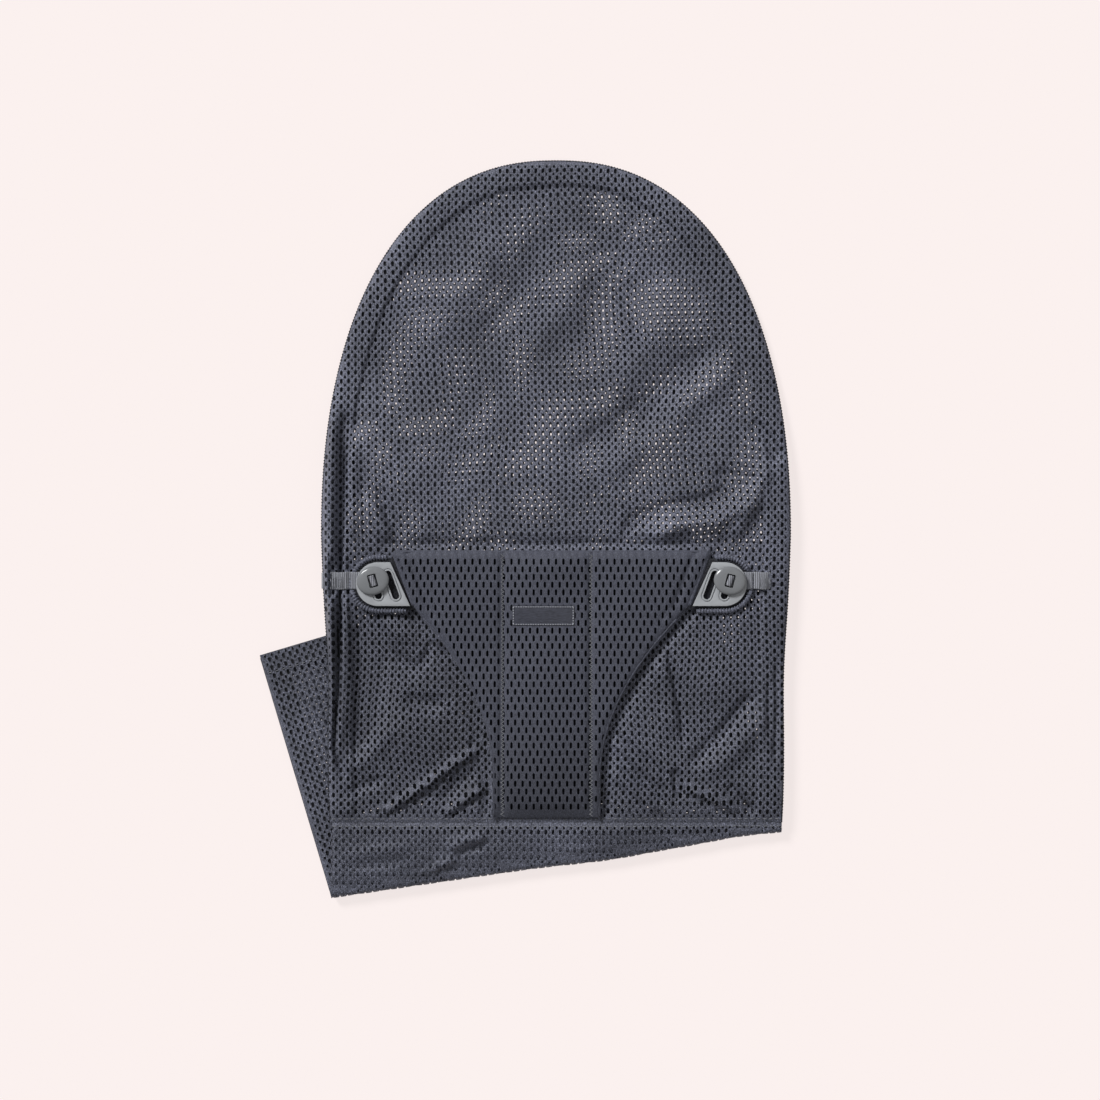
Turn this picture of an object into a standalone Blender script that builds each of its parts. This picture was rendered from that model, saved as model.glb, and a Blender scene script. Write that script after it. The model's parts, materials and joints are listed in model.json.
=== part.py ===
"""Removable fabric seat of a baby bouncer, laid flat with its leg panel folded under it.

Two mesh layers make a pocket for the bouncer's frame.  Across its lower end runs a seam, then a
short strip and a crease, where the leg panel turns under the seat.  A padded restraint is sewn
into the seam.  Its two wings end in plastic plates, and a button on a short strap at each side
of the seat holds each plate by a slot.

Everything is modelled in the seat's own plan: x from its centre line, y from the middle of the
crease towards the head end, z up from the floor.  One empty then moves the whole seat so that
the middle of its outline is over the world's origin.
"""

import math

import bmesh
import bpy
from mathutils import Matrix, Vector

# Seat outline.
ARCH_HALF_WIDTH = 0.203
ARCH_RISE = 0.326
ARCH_Y = 0.2836
ARCH_POWER = 2.3
FOOT_HALF_WIDTH = 0.195
ARCH_STEPS = 48

# Lower end.
CREASE_TILT = math.radians(8.3)
FOLD_ANGLE = math.radians(180)
LEG_LENGTH = 0.2475
HEM_WIDTH = 0.018
SEAM_Y = 0.036
SEAM_TAPE_WIDTH = 0.016
SEAM_TAPE_THICKNESS = 0.0006
MOUTH_WIDTH = 0.016

# Layers.
CLOTH_THICKNESS = 0.0012
POCKET_GAP = 0.0046
FOLD_GAP = 0.0008
FIT_GAP = 0.0003
RIM_WIDTH = 0.020
RIM_INSET = 0.002

# How far past the folded leg panel the seat starts to come down to the floor, and over what run.
DRAPE_CLEARANCE = 0.022
DRAPE_RUN = 0.120

# Restraint.
HARNESS_X = -0.004
STEM_SHIFT = -0.004
STEM_HALF_WIDTH = 0.047
HARNESS_FOOT = 0.0400
HARNESS_TOP = 0.2715
STEM_TOP = 0.075
WING_FOOT = 0.2235
WING_FOOT_X = 0.1205
WING_TIP_X = 0.1387
WING_STEPS = 14
HARNESS_THICKNESS = 0.003
LINING_THICKNESS = 0.0008
LINING_INSET = 0.0015
LINING_SETBACK = 0.012
SEAM_SPACING = 0.0766
FLATLOCK_WIDTH = 0.0045
FLATLOCK_THICKNESS = 0.0005
LABEL_WIDTH = 0.054
LABEL_HEIGHT = 0.0174
LABEL_THICKNESS = 0.0006
LABEL_Y = 0.2149
LABEL_SHIFT = -0.003

# Plates at the ends of the wings.
PLATE_Y = 0.242
PLATE_HALF_HEIGHT = 0.0189
PLATE_ROUND_X = 0.1496
PLATE_TOP_X = 0.1390
PLATE_FOOT_X = 0.1218
PLATE_THICKNESS = 0.002
PLATE_CORNER_STEPS = 20
SLOT_LENGTH = 0.026
SLOT_WIDTH = 0.006
SLOT_LEAN = math.radians(20)
OUTER_SLOT = (0.1525, 0.2414)
INNER_SLOT = (0.1375, 0.2412)
SLOT_RIM_WIDTH = 0.0011
SLOT_RIM_HEIGHT = 0.0004
BACKING_MARGIN = 0.005
BACKING_THICKNESS = 0.0008
BACKING_LAP = 0.009
BINDING_WIDTH = 0.006
BINDING_THICKNESS = 0.0008

# Buttons.
BUTTON_LENGTH = 0.028
BUTTON_HEIGHT = 0.0245
BUTTON_THICKNESS = 0.004
BUTTON_SHIFT = 0.0038
BUTTON_LIFT = 0.0004
WINDOW_WIDTH = 0.0076
WINDOW_LENGTH = 0.0114
BAR_DIAMETER = 0.002

# Straps.
STRAP_WIDTH = 0.015
STRAP_THICKNESS = 0.0012
STRAP_END_X = 0.1930
LOOP_WIDTH = 0.0102
LOOP_PLY = 0.0009
STRAP_JOINT_GAP = 0.0025
ANCHOR_LENGTH = 0.0055
ANCHOR_THICKNESS = 0.003

# Heights of the stacked layers above the floor, from the bottom up.
LEG_HEIGHT = 2 * CLOTH_THICKNESS + POCKET_GAP
CREASE_Z = LEG_HEIGHT + FOLD_GAP / 2
BACK_Z = LEG_HEIGHT + FOLD_GAP
FRONT_Z = BACK_Z + CLOTH_THICKNESS + POCKET_GAP
SEAT_TOP = FRONT_Z + CLOTH_THICKNESS
HARNESS_Z = SEAT_TOP + FOLD_GAP
PANEL_Z = HARNESS_Z + LINING_THICKNESS + FIT_GAP
PANEL_TOP = PANEL_Z + HARNESS_THICKNESS
STRAP_Z = HARNESS_Z + BACKING_THICKNESS + FIT_GAP
PLATE_Z = STRAP_Z + STRAP_THICKNESS + FIT_GAP
PLATE_TOP = PLATE_Z + PLATE_THICKNESS
BUTTON_Z = PLATE_TOP + SLOT_RIM_HEIGHT + BUTTON_LIFT
BAR_Z = BUTTON_Z + BUTTON_THICKNESS / 2
LOOP_HALF_DEPTH = BAR_DIAMETER / 2 + FIT_GAP + LOOP_PLY

# Names, colours, roughness and metallic value of the materials.
FINISHES = {
    "mesh_fabric": ((0.085, 0.090, 0.112), 0.90, 0.0),
    "spacer_fabric": ((0.050, 0.055, 0.070), 0.85, 0.0),
    "label_satin": ((0.060, 0.068, 0.082), 0.45, 0.0),
    "plate_plastic": ((0.380, 0.395, 0.415), 0.50, 0.0),
    "button_plastic": ((0.300, 0.310, 0.330), 0.38, 0.0),
    "strap_webbing": ((0.200, 0.210, 0.235), 0.80, 0.0),
}


def clear_scene():
    """Remove every object that the file started with."""
    for old in list(bpy.data.objects):
        bpy.data.objects.remove(old, do_unlink=True)


def new_collection(name):
    """Make a collection in the scene."""
    made = bpy.data.collections.new(name)
    bpy.context.scene.collection.children.link(made)
    return made


clear_scene()
PARTS = new_collection("bouncer_seat")
CUTTERS = new_collection("bouncer_seat_cutters")


def make_material(name, finish):
    """One sub-part's own Principled material."""
    colour, roughness, metallic = FINISHES[finish]
    material = bpy.data.materials.new(name)
    material.use_nodes = True
    shader = material.node_tree.nodes["Principled BSDF"]
    shader.inputs["Base Color"].default_value = (*colour, 1.0)
    shader.inputs["Roughness"].default_value = roughness
    shader.inputs["Metallic"].default_value = metallic
    return material


def make_empty(name, place, parent=None, turn=(0.0, 0.0, 0.0)):
    """An empty that carries pieces, given in its parent's axes."""
    empty = bpy.data.objects.new(name, None)
    empty.location = place
    empty.rotation_euler = turn
    empty.parent = parent
    PARTS.objects.link(empty)
    return empty


def finish_piece(name, mesh_tool, finish, carrier, pivot):
    """Turn a bmesh in the seat's plan into a named piece hung on its carrier at pivot."""
    bmesh.ops.translate(mesh_tool, vec=-Vector(pivot), verts=mesh_tool.verts)
    bmesh.ops.recalc_face_normals(mesh_tool, faces=mesh_tool.faces)
    mesh = bpy.data.meshes.new(name)
    mesh_tool.to_mesh(mesh)
    mesh_tool.free()
    mesh.materials.append(make_material(name, finish))
    piece = bpy.data.objects.new(name, mesh)
    piece.parent = carrier
    PARTS.objects.link(piece)
    return piece


def crease_y(x):
    """The crease's y at x."""
    return x * math.tan(CREASE_TILT)


def half_width(y):
    """Half the seat's width at y."""
    if y <= ARCH_Y:
        return FOOT_HALF_WIDTH + (ARCH_HALF_WIDTH - FOOT_HALF_WIDTH) * max(y, 0.0) / ARCH_Y
    share = min((y - ARCH_Y) / ARCH_RISE, 1.0)
    return ARCH_HALF_WIDTH * (1.0 - share ** ARCH_POWER) ** (1.0 / ARCH_POWER)


def folded_hem_reach():
    """The y that the folded leg panel's hem reaches at its further corner."""
    across = FOOT_HALF_WIDTH * math.sin(2 * CREASE_TILT)
    return across + LEG_LENGTH * math.cos(2 * CREASE_TILT)


DRAPE_START = folded_hem_reach() + DRAPE_CLEARANCE
DRAPE_END = DRAPE_START + DRAPE_RUN


def arch_points(inset):
    """The arch from its right end over the head to its left end, moved in by inset."""
    points = []
    for step in range(ARCH_STEPS + 1):
        angle = math.pi * step / ARCH_STEPS
        across = math.copysign(abs(math.cos(angle)) ** (2 / ARCH_POWER), math.cos(angle))
        along = max(math.sin(angle), 0.0) ** (2 / ARCH_POWER)
        x = (ARCH_HALF_WIDTH - inset) * across
        points.append((x, ARCH_Y + (ARCH_RISE - inset) * along))
    return points


def drape(y):
    """How far the seat is let down at y, from the folded leg panel to the floor."""
    share = (y - DRAPE_START) / (DRAPE_END - DRAPE_START)
    return BACK_Z * min(max(share, 0.0), 1.0)


def raise_sheet(mesh_tool, low, high):
    """Cut a flat outline where the drape bends, let it down and give it its thickness."""
    for row in (DRAPE_START, DRAPE_END):
        geometry = mesh_tool.verts[:] + mesh_tool.edges[:] + mesh_tool.faces[:]
        bmesh.ops.bisect_plane(
            mesh_tool, geom=geometry, dist=1e-7, plane_co=(0, row, 0), plane_no=(0, 1, 0)
        )
    for vertex in mesh_tool.verts:
        vertex.co.z = low - drape(vertex.co.y)
    grown = bmesh.ops.extrude_face_region(mesh_tool, geom=mesh_tool.faces[:])
    tops = [item for item in grown["geom"] if isinstance(item, bmesh.types.BMVert)]
    bmesh.ops.translate(mesh_tool, vec=(0, 0, high - low), verts=tops)


def sheet_from(points, low, high):
    """A flat piece with one outline."""
    mesh_tool = bmesh.new()
    mesh_tool.faces.new([mesh_tool.verts.new((x, y, 0.0)) for x, y in points])
    raise_sheet(mesh_tool, low, high)
    return mesh_tool


def band_between(outer, inner, low, high):
    """A flat piece between two open lines with the same number of points."""
    mesh_tool = bmesh.new()
    outer_verts = [mesh_tool.verts.new((x, y, 0.0)) for x, y in outer]
    inner_verts = [mesh_tool.verts.new((x, y, 0.0)) for x, y in inner]
    for step in range(len(outer) - 1):
        corners = (
            outer_verts[step],
            outer_verts[step + 1],
            inner_verts[step + 1],
            inner_verts[step],
        )
        mesh_tool.faces.new(corners)
    raise_sheet(mesh_tool, low, high)
    return mesh_tool


def stadium(centre, length, width, lean, steps=8):
    """The outline of a slot with round ends, leaning from +Y towards +X."""
    radius = width / 2
    reach = length / 2 - radius
    points = []
    for step in range(2 * steps + 2):
        angle = math.pi * (step if step <= steps else step - 1) / steps
        side = reach if step <= steps else -reach
        x = radius * math.cos(angle)
        y = side + radius * math.sin(angle)
        across = centre[0] + x * math.cos(lean) + y * math.sin(lean)
        along = centre[1] - x * math.sin(lean) + y * math.cos(lean)
        points.append((across, along))
    return points


def column(points, low, high):
    """A prism on a flat outline."""
    mesh_tool = bmesh.new()
    face = mesh_tool.faces.new([mesh_tool.verts.new((x, y, low)) for x, y in points])
    grown = bmesh.ops.extrude_face_region(mesh_tool, geom=[face])
    tops = [item for item in grown["geom"] if isinstance(item, bmesh.types.BMVert)]
    bmesh.ops.translate(mesh_tool, vec=(0, 0, high - low), verts=tops)
    return mesh_tool


def box(low, high):
    """A block between two corners."""
    mesh_tool = bmesh.new()
    bmesh.ops.create_cube(mesh_tool, size=1.0)
    size = Vector(high) - Vector(low)
    middle = (Vector(high) + Vector(low)) / 2
    bmesh.ops.scale(mesh_tool, vec=size, verts=mesh_tool.verts)
    bmesh.ops.translate(mesh_tool, vec=middle, verts=mesh_tool.verts)
    return mesh_tool


def combine(piece, mesh_tool, operation):
    """Join a shape to a piece or cut it from the piece; the shape is in the piece's own axes."""
    name = f"{piece.name}_{operation.lower()}_{len(piece.modifiers)}"
    bmesh.ops.recalc_face_normals(mesh_tool, faces=mesh_tool.faces)
    mesh = bpy.data.meshes.new(name)
    mesh_tool.to_mesh(mesh)
    mesh_tool.free()
    tool = bpy.data.objects.new(name, mesh)
    tool.parent = piece.parent
    tool.hide_render = True
    tool.display_type = "WIRE"
    CUTTERS.objects.link(tool)
    modifier = piece.modifiers.new(name, "BOOLEAN")
    modifier.operation = operation
    modifier.solver = "EXACT"
    modifier.object = tool


def mirrored(points, side):
    """An outline drawn for the right side, put on the given side of the restraint's middle."""
    return [(HARNESS_X + side * x, y) for x, y in points]


def make_seat_layers(seat):
    """The pocket of two mesh layers, the rim in it, the seam tape and the strip to the crease."""
    for name, foot, low in (
        ("front_panel", SEAM_Y, FRONT_Z),
        ("back_panel", SEAM_Y + MOUTH_WIDTH, BACK_Z),
    ):
        outline = arch_points(0.0)
        outline += [(-half_width(foot), foot), (half_width(foot), foot)]
        layer = sheet_from(outline, low, low + CLOTH_THICKNESS)
        finish_piece(name, layer, "mesh_fabric", seat, (0, 0, 0))
    outer = arch_points(RIM_INSET)
    inner = arch_points(RIM_INSET + RIM_WIDTH)
    for side, place in ((1, 0), (-1, len(outer))):
        far = side * (FOOT_HALF_WIDTH - RIM_INSET)
        near = side * (FOOT_HALF_WIDTH - RIM_INSET - RIM_WIDTH)
        outer.insert(place, (far, crease_y(far) + FIT_GAP))
        inner.insert(place, (near, crease_y(near) + FIT_GAP))
    low = BACK_Z + CLOTH_THICKNESS + FIT_GAP
    rim = band_between(outer, inner, low, low + POCKET_GAP - 2 * FIT_GAP)
    finish_piece("rim_band", rim, "mesh_fabric", seat, (0, 0, 0))

    strip_top = SEAM_Y - FIT_GAP
    wide = FOOT_HALF_WIDTH
    strip = [
        (-wide, crease_y(-wide) + FIT_GAP / 2),
        (wide, crease_y(wide) + FIT_GAP / 2),
        (wide, strip_top),
        (-wide, strip_top),
    ]
    for name, low in (("strip_front", FRONT_Z), ("strip_back", BACK_Z)):
        layer = column(strip, low, low + CLOTH_THICKNESS)
        finish_piece(name, layer, "mesh_fabric", seat, (0, 0, 0))
    tape_half = FOOT_HALF_WIDTH - RIM_INSET - RIM_WIDTH - FIT_GAP
    tape_low = max(SEAM_Y - SEAM_TAPE_WIDTH / 2, crease_y(tape_half) + FIT_GAP)
    tape_top = FRONT_Z - FIT_GAP
    tape = box(
        (-tape_half, tape_low, tape_top - SEAM_TAPE_THICKNESS),
        (tape_half, SEAM_Y + SEAM_TAPE_WIDTH / 2, tape_top),
    )
    finish_piece("cross_seam_tape", tape, "mesh_fabric", seat, (0, 0, 0))


def make_leg_panel(leg):
    """The leg panel, drawn unfolded; its carrier turns it under the seat about the crease."""
    wide = FOOT_HALF_WIDTH
    hem_y = -LEG_LENGTH + HEM_WIDTH
    unturned = Matrix.Rotation(-CREASE_TILT, 4, "Z")

    def leg_piece(name, outline, low, high):
        shape = column(outline, low - CREASE_Z, high - CREASE_Z)
        bmesh.ops.transform(shape, matrix=unturned, verts=shape.verts)
        finish_piece(name, shape, "mesh_fabric", leg, (0, 0, 0))

    for side, low in (("front", FRONT_Z), ("back", BACK_Z)):
        panel = [
            (-wide, crease_y(-wide) - FIT_GAP / 2),
            (-wide, hem_y + FIT_GAP),
            (wide, hem_y + FIT_GAP),
            (wide, crease_y(wide) - FIT_GAP / 2),
        ]
        hem = [(-wide, hem_y), (-wide, -LEG_LENGTH), (wide, -LEG_LENGTH), (wide, hem_y)]
        leg_piece(f"leg_{side}", panel, low, low + CLOTH_THICKNESS)
        leg_piece(f"leg_hem_{side}", hem, low, low + CLOTH_THICKNESS)
    low = BACK_Z + CLOTH_THICKNESS + FIT_GAP
    high = FRONT_Z - FIT_GAP
    for name, side in (("leg_seam_left", -1), ("leg_seam_right", 1)):
        far = side * (wide - RIM_INSET)
        near = side * (wide - RIM_INSET - RIM_WIDTH)
        seam = [
            (far, crease_y(far) - FIT_GAP),
            (far, -LEG_LENGTH),
            (near, -LEG_LENGTH),
            (near, crease_y(near) - FIT_GAP),
        ]
        leg_piece(name, seam, low, high)


def wing_edge(inset):
    """The lower edge of one wing, from the stem's foot out to the wing's lower corner."""
    points = [(STEM_HALF_WIDTH - inset, HARNESS_FOOT + inset)]
    for step in range(WING_STEPS + 1):
        share = step / WING_STEPS
        x = STEM_HALF_WIDTH + (WING_FOOT_X - STEM_HALF_WIDTH) * share ** 2
        y = STEM_TOP + (WING_FOOT - STEM_TOP) * share
        points.append((x - inset, y))
    return points


def make_restraint(harness, pivot):
    """The padded restraint: a lining, three sewn panels, their flat seams and a blank label."""
    def harness_piece(name, shape, finish="spacer_fabric"):
        return finish_piece(name, shape, finish, harness, pivot)

    shift = HARNESS_X + STEM_SHIFT

    def lining_outline(inset):
        halves = []
        for side in (1, -1):
            half = [(shift + side * x, y) for x, y in wing_edge(inset)[:-1]]
            half.append((HARNESS_X + side * (WING_FOOT_X - LINING_SETBACK), WING_FOOT))
            half.append((HARNESS_X + side * (WING_TIP_X - LINING_SETBACK), HARNESS_TOP - inset))
            halves.append(half)
        return halves[0] + halves[1][::-1]

    lining = column(lining_outline(LINING_INSET), HARNESS_Z, HARNESS_Z + LINING_THICKNESS)
    harness_piece("harness_lining", lining)

    seam = SEAM_SPACING / 2
    half_gap = FIT_GAP / 2
    centre = [
        (shift - seam + half_gap, HARNESS_FOOT),
        (shift + seam - half_gap, HARNESS_FOOT),
        (shift + seam - half_gap, HARNESS_TOP),
        (shift - seam + half_gap, HARNESS_TOP),
    ]
    harness_piece("harness_centre", column(centre, PANEL_Z, PANEL_TOP))
    for name, side in (("left", -1), ("right", 1)):
        inner = shift + side * (seam + half_gap)
        wing = [(shift + side * x, y) for x, y in wing_edge(0.0)[:-1]]
        wing.append((HARNESS_X + side * WING_FOOT_X, WING_FOOT))
        wing.append((HARNESS_X + side * WING_TIP_X, HARNESS_TOP))
        outline = [(inner, HARNESS_FOOT)] + wing + [(inner, HARNESS_TOP)]
        harness_piece(f"harness_{name}", column(outline, PANEL_Z, PANEL_TOP))
        low = PANEL_TOP + FIT_GAP
        middle = shift + side * seam
        flatlock = box(
            (middle - FLATLOCK_WIDTH / 2, HARNESS_FOOT, low),
            (middle + FLATLOCK_WIDTH / 2, HARNESS_TOP, low + FLATLOCK_THICKNESS),
        )
        harness_piece(f"harness_seam_{name}", flatlock)
        binding = [
            (WING_FOOT_X - BINDING_WIDTH, WING_FOOT),
            (WING_FOOT_X, WING_FOOT),
            (WING_TIP_X, HARNESS_TOP),
            (WING_TIP_X - BINDING_WIDTH, HARNESS_TOP),
        ]
        roll = column(mirrored(binding, side), low, low + BINDING_THICKNESS)
        harness_piece(f"wing_binding_{name}", roll)
    low = PANEL_TOP + FIT_GAP
    label_x = shift + LABEL_SHIFT
    label = box(
        (label_x - LABEL_WIDTH / 2, LABEL_Y - LABEL_HEIGHT / 2, low),
        (label_x + LABEL_WIDTH / 2, LABEL_Y + LABEL_HEIGHT / 2, low + LABEL_THICKNESS),
    )
    harness_piece("label_patch", label, "label_satin")


def plate_outline(margin, lap):
    """The D of one plate, grown by margin and, at its slanted inner end, by lap."""
    points = []
    for step in range(PLATE_CORNER_STEPS + 1):
        angle = -math.pi / 2 + math.pi * step / PLATE_CORNER_STEPS
        radius = PLATE_HALF_HEIGHT + margin
        x = PLATE_ROUND_X + radius * math.cos(angle)
        points.append((x, PLATE_Y + radius * math.sin(angle)))
    points.append((PLATE_TOP_X - lap, PLATE_Y + PLATE_HALF_HEIGHT + margin))
    points.append((PLATE_FOOT_X - lap, PLATE_Y - PLATE_HALF_HEIGHT - margin))
    return points


def make_plates(harness, pivot):
    """The two plates with their slots, on the fabric tabs that back them."""
    offset = -Vector(pivot)
    for name, side in (("left", -1), ("right", 1)):
        backing = column(
            mirrored(plate_outline(BACKING_MARGIN, BACKING_LAP), side),
            HARNESS_Z,
            HARNESS_Z + BACKING_THICKNESS,
        )
        finish_piece(f"backing_{name}", backing, "spacer_fabric", harness, pivot)
        plate = column(mirrored(plate_outline(0.0, 0.0), side), PLATE_Z, PLATE_TOP)
        piece = finish_piece(f"plate_{name}", plate, "plate_plastic", harness, pivot)
        for centre in (OUTER_SLOT, INNER_SLOT):
            rim = stadium(
                centre, SLOT_LENGTH + 2 * SLOT_RIM_WIDTH, SLOT_WIDTH + 2 * SLOT_RIM_WIDTH, SLOT_LEAN
            )
            raised = column(
                mirrored(rim, side), PLATE_TOP - PLATE_THICKNESS / 2, PLATE_TOP + SLOT_RIM_HEIGHT
            )
            bmesh.ops.translate(raised, vec=offset, verts=raised.verts)
            combine(piece, raised, "UNION")
        for centre in (OUTER_SLOT, INNER_SLOT):
            slot = stadium(centre, SLOT_LENGTH, SLOT_WIDTH, SLOT_LEAN)
            cut = column(
                mirrored(slot, side), PLATE_Z - PLATE_THICKNESS, PLATE_TOP + PLATE_THICKNESS
            )
            bmesh.ops.translate(cut, vec=offset, verts=cut.verts)
            combine(piece, cut, "DIFFERENCE")


def button_centre(side):
    """The middle of a button: on its slot, a little above the slot's middle."""
    across = OUTER_SLOT[0] + BUTTON_SHIFT * math.sin(SLOT_LEAN)
    return HARNESS_X + side * across, OUTER_SLOT[1] + BUTTON_SHIFT * math.cos(SLOT_LEAN)


def oval_dome():
    """A domed oval disc about the origin, with its underside at height 0."""
    rings = (
        (0.94, 0.0),
        (1.0, 0.15),
        (1.0, 0.50),
        (0.95, 0.72),
        (0.85, 0.87),
        (0.65, 0.96),
        (0.35, 1.0),
    )
    mesh_tool = bmesh.new()
    loops = []
    for share, height in rings:
        made = bmesh.ops.create_circle(mesh_tool, segments=40, radius=0.5)["verts"]
        size = (BUTTON_LENGTH * share, BUTTON_HEIGHT * share, 1.0)
        bmesh.ops.scale(mesh_tool, vec=size, verts=made)
        bmesh.ops.translate(mesh_tool, vec=(0, 0, BUTTON_THICKNESS * height), verts=made)
        loops.append(made)
    for lower, upper in zip(loops, loops[1:]):
        for step in range(len(lower)):
            following = (step + 1) % len(lower)
            corners = (lower[step], lower[following], upper[following], upper[step])
            mesh_tool.faces.new(corners)
    mesh_tool.faces.new(loops[0][::-1])
    mesh_tool.faces.new(loops[-1])
    return mesh_tool


def rod(length, diameter, segments=16):
    """A round bar along Y about the origin."""
    mesh_tool = bmesh.new()
    bmesh.ops.create_cone(
        mesh_tool,
        cap_ends=True,
        segments=segments,
        radius1=diameter / 2,
        radius2=diameter / 2,
        depth=length,
    )
    bmesh.ops.rotate(
        mesh_tool, verts=mesh_tool.verts, matrix=Matrix.Rotation(math.pi / 2, 3, "X")
    )
    return mesh_tool


def lean_to(mesh_tool, side, centre):
    """Turn a shape drawn about the origin along the slot and put it over the slot."""
    turn = Matrix.Rotation(-side * SLOT_LEAN, 3, "Z")
    bmesh.ops.rotate(mesh_tool, verts=mesh_tool.verts, matrix=turn)
    bmesh.ops.translate(mesh_tool, vec=centre, verts=mesh_tool.verts)
    return mesh_tool


def make_button(name, side, carrier, pivot):
    """A domed oval button whose window is crossed by a bar, in a strap's looped end."""
    x, y = button_centre(side)
    disc = oval_dome()
    bmesh.ops.translate(disc, vec=(x, y, BUTTON_Z), verts=disc.verts)
    button = finish_piece(f"button_{name}", disc, "button_plastic", carrier, pivot)
    window = box(
        (-WINDOW_WIDTH / 2, -WINDOW_LENGTH / 2, -BUTTON_THICKNESS),
        (WINDOW_WIDTH / 2, WINDOW_LENGTH / 2, BUTTON_THICKNESS),
    )
    place = Vector((x, y, BAR_Z)) - Vector(pivot)
    combine(button, lean_to(window, side, place), "DIFFERENCE")
    bar = rod(WINDOW_LENGTH + BAR_DIAMETER, BAR_DIAMETER)
    combine(button, lean_to(bar, side, place), "UNION")


def make_strap_loop(name, side, carrier, pivot):
    """The strap's end: a flat tail under the plate that rises through the slot over the bar."""
    x, y = button_centre(side)
    profile = [(-LOOP_HALF_DEPTH, STRAP_Z), (LOOP_HALF_DEPTH, STRAP_Z)]
    for step in range(9):
        angle = math.pi * step / 8
        across = LOOP_HALF_DEPTH * math.cos(angle)
        profile.append((across, BAR_Z + LOOP_HALF_DEPTH * math.sin(angle)))
    loop = bmesh.new()
    half = LOOP_WIDTH / 2
    face = loop.faces.new([loop.verts.new((across, -half, z)) for across, z in profile])
    grown = bmesh.ops.extrude_face_region(loop, geom=[face])
    far = [item for item in grown["geom"] if isinstance(item, bmesh.types.BMVert)]
    bmesh.ops.translate(loop, vec=(0, LOOP_WIDTH, 0), verts=far)
    piece = finish_piece(
        f"strap_loop_{name}", lean_to(loop, side, (x, y, 0)), "strap_webbing", carrier, pivot
    )
    outer = HARNESS_X + side * (PLATE_ROUND_X + PLATE_HALF_HEIGHT + BACKING_MARGIN)
    tail = box(
        (min(x, outer), y - STRAP_WIDTH / 2, STRAP_Z),
        (max(x, outer), y + STRAP_WIDTH / 2, STRAP_Z + STRAP_THICKNESS),
    )
    bmesh.ops.translate(tail, vec=-Vector(pivot), verts=tail.verts)
    combine(piece, tail, "UNION")
    hole = rod(2 * WINDOW_LENGTH, BAR_DIAMETER + 2 * FIT_GAP)
    place = Vector((x, y, BAR_Z)) - Vector(pivot)
    combine(piece, lean_to(hole, side, place), "DIFFERENCE")


def make_strap(name, side, carrier, pivot):
    """The strap's free length, from its hinge line at the side seam to the plate's backing."""
    y = button_centre(side)[1]
    inner = PLATE_ROUND_X + PLATE_HALF_HEIGHT + BACKING_MARGIN + STRAP_JOINT_GAP
    ends = (HARNESS_X + side * inner, HARNESS_X + side * (STRAP_END_X - FIT_GAP))
    strap = box(
        (min(ends), y - STRAP_WIDTH / 2, STRAP_Z),
        (max(ends), y + STRAP_WIDTH / 2, STRAP_Z + STRAP_THICKNESS),
    )
    finish_piece(f"strap_{name}", strap, "strap_webbing", carrier, pivot)


def make_strap_anchor(name, side, seat):
    """The folded end of a strap, sewn down at the side of the seat."""
    y = button_centre(side)[1]
    near = STRAP_END_X + FIT_GAP
    ends = (HARNESS_X + side * near, HARNESS_X + side * (near + ANCHOR_LENGTH))
    low = SEAT_TOP + FIT_GAP
    anchor = box(
        (min(ends), y - STRAP_WIDTH / 2, low),
        (max(ends), y + STRAP_WIDTH / 2, low + ANCHOR_THICKNESS),
    )
    finish_piece(f"strap_anchor_{name}", anchor, "strap_webbing", seat, (0, 0, 0))


def outline_middle():
    """The middle of the folded seat's outline, in the seat's own plan."""
    tilt = Matrix.Rotation(CREASE_TILT, 2)
    fold = Matrix(((1.0, 0.0), (0.0, math.cos(FOLD_ANGLE))))
    corners = []
    for side in (-1, 1):
        hem = Vector((side * FOOT_HALF_WIDTH, -LEG_LENGTH))
        corners.append(tilt @ (fold @ (tilt.transposed() @ hem)))
        corners.append(Vector((side * FOOT_HALF_WIDTH, crease_y(side * FOOT_HALF_WIDTH))))
    corners.append(Vector((-ARCH_HALF_WIDTH, ARCH_Y)))
    corners.append(Vector((ARCH_HALF_WIDTH, ARCH_Y + ARCH_RISE)))
    across = [corner.x for corner in corners]
    along = [corner.y for corner in corners]
    return (min(across) + max(across)) / 2, (min(along) + max(along)) / 2


def build():
    """Make every carrier and hang the seat's pieces on them."""
    middle = outline_middle()
    seat = make_empty("seat_carrier", (-middle[0], -middle[1], 0))
    leg = make_empty("leg_fold_axis", (0, 0, CREASE_Z), seat, (FOLD_ANGLE, 0, CREASE_TILT))
    lift = (HARNESS_X, HARNESS_FOOT - FIT_GAP, HARNESS_Z - FIT_GAP)
    harness = make_empty("harness_lift_axis", lift, seat)
    make_seat_layers(seat)
    make_leg_panel(leg)
    make_restraint(harness, lift)
    make_plates(harness, lift)
    for name, side in (("left", -1), ("right", 1)):
        x, y = button_centre(side)
        centre = Vector((x, y, BAR_Z))
        slide = make_empty(f"button_{name}_carrier", centre - Vector(lift), harness)
        make_button(name, side, slide, centre)
        make_strap_loop(name, side, slide, centre)
        hinge = (HARNESS_X + side * STRAP_END_X, y, STRAP_Z + STRAP_THICKNESS / 2)
        swing = make_empty(f"strap_{name}_axis", hinge, seat)
        make_strap(name, side, swing, hinge)
        make_strap_anchor(name, side, seat)


build()
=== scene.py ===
"""Looks of a bouncer's fabric seat, laid flat with its leg panel folded under it.

The open knitted cloth is real mesh with real holes: a lattice of triangles has a hole opened at
each of its corners and each face between the holes crowned a little, and the flat sheet is then
shaped into the pocket, its folds and its crease.  The padded restraint is made the same way from
a spacer mesh with tall slots over a dark core.  Plan places are in the seat's own plan, x from
its centre line and y from the middle of its crease towards the head end.
"""

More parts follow.
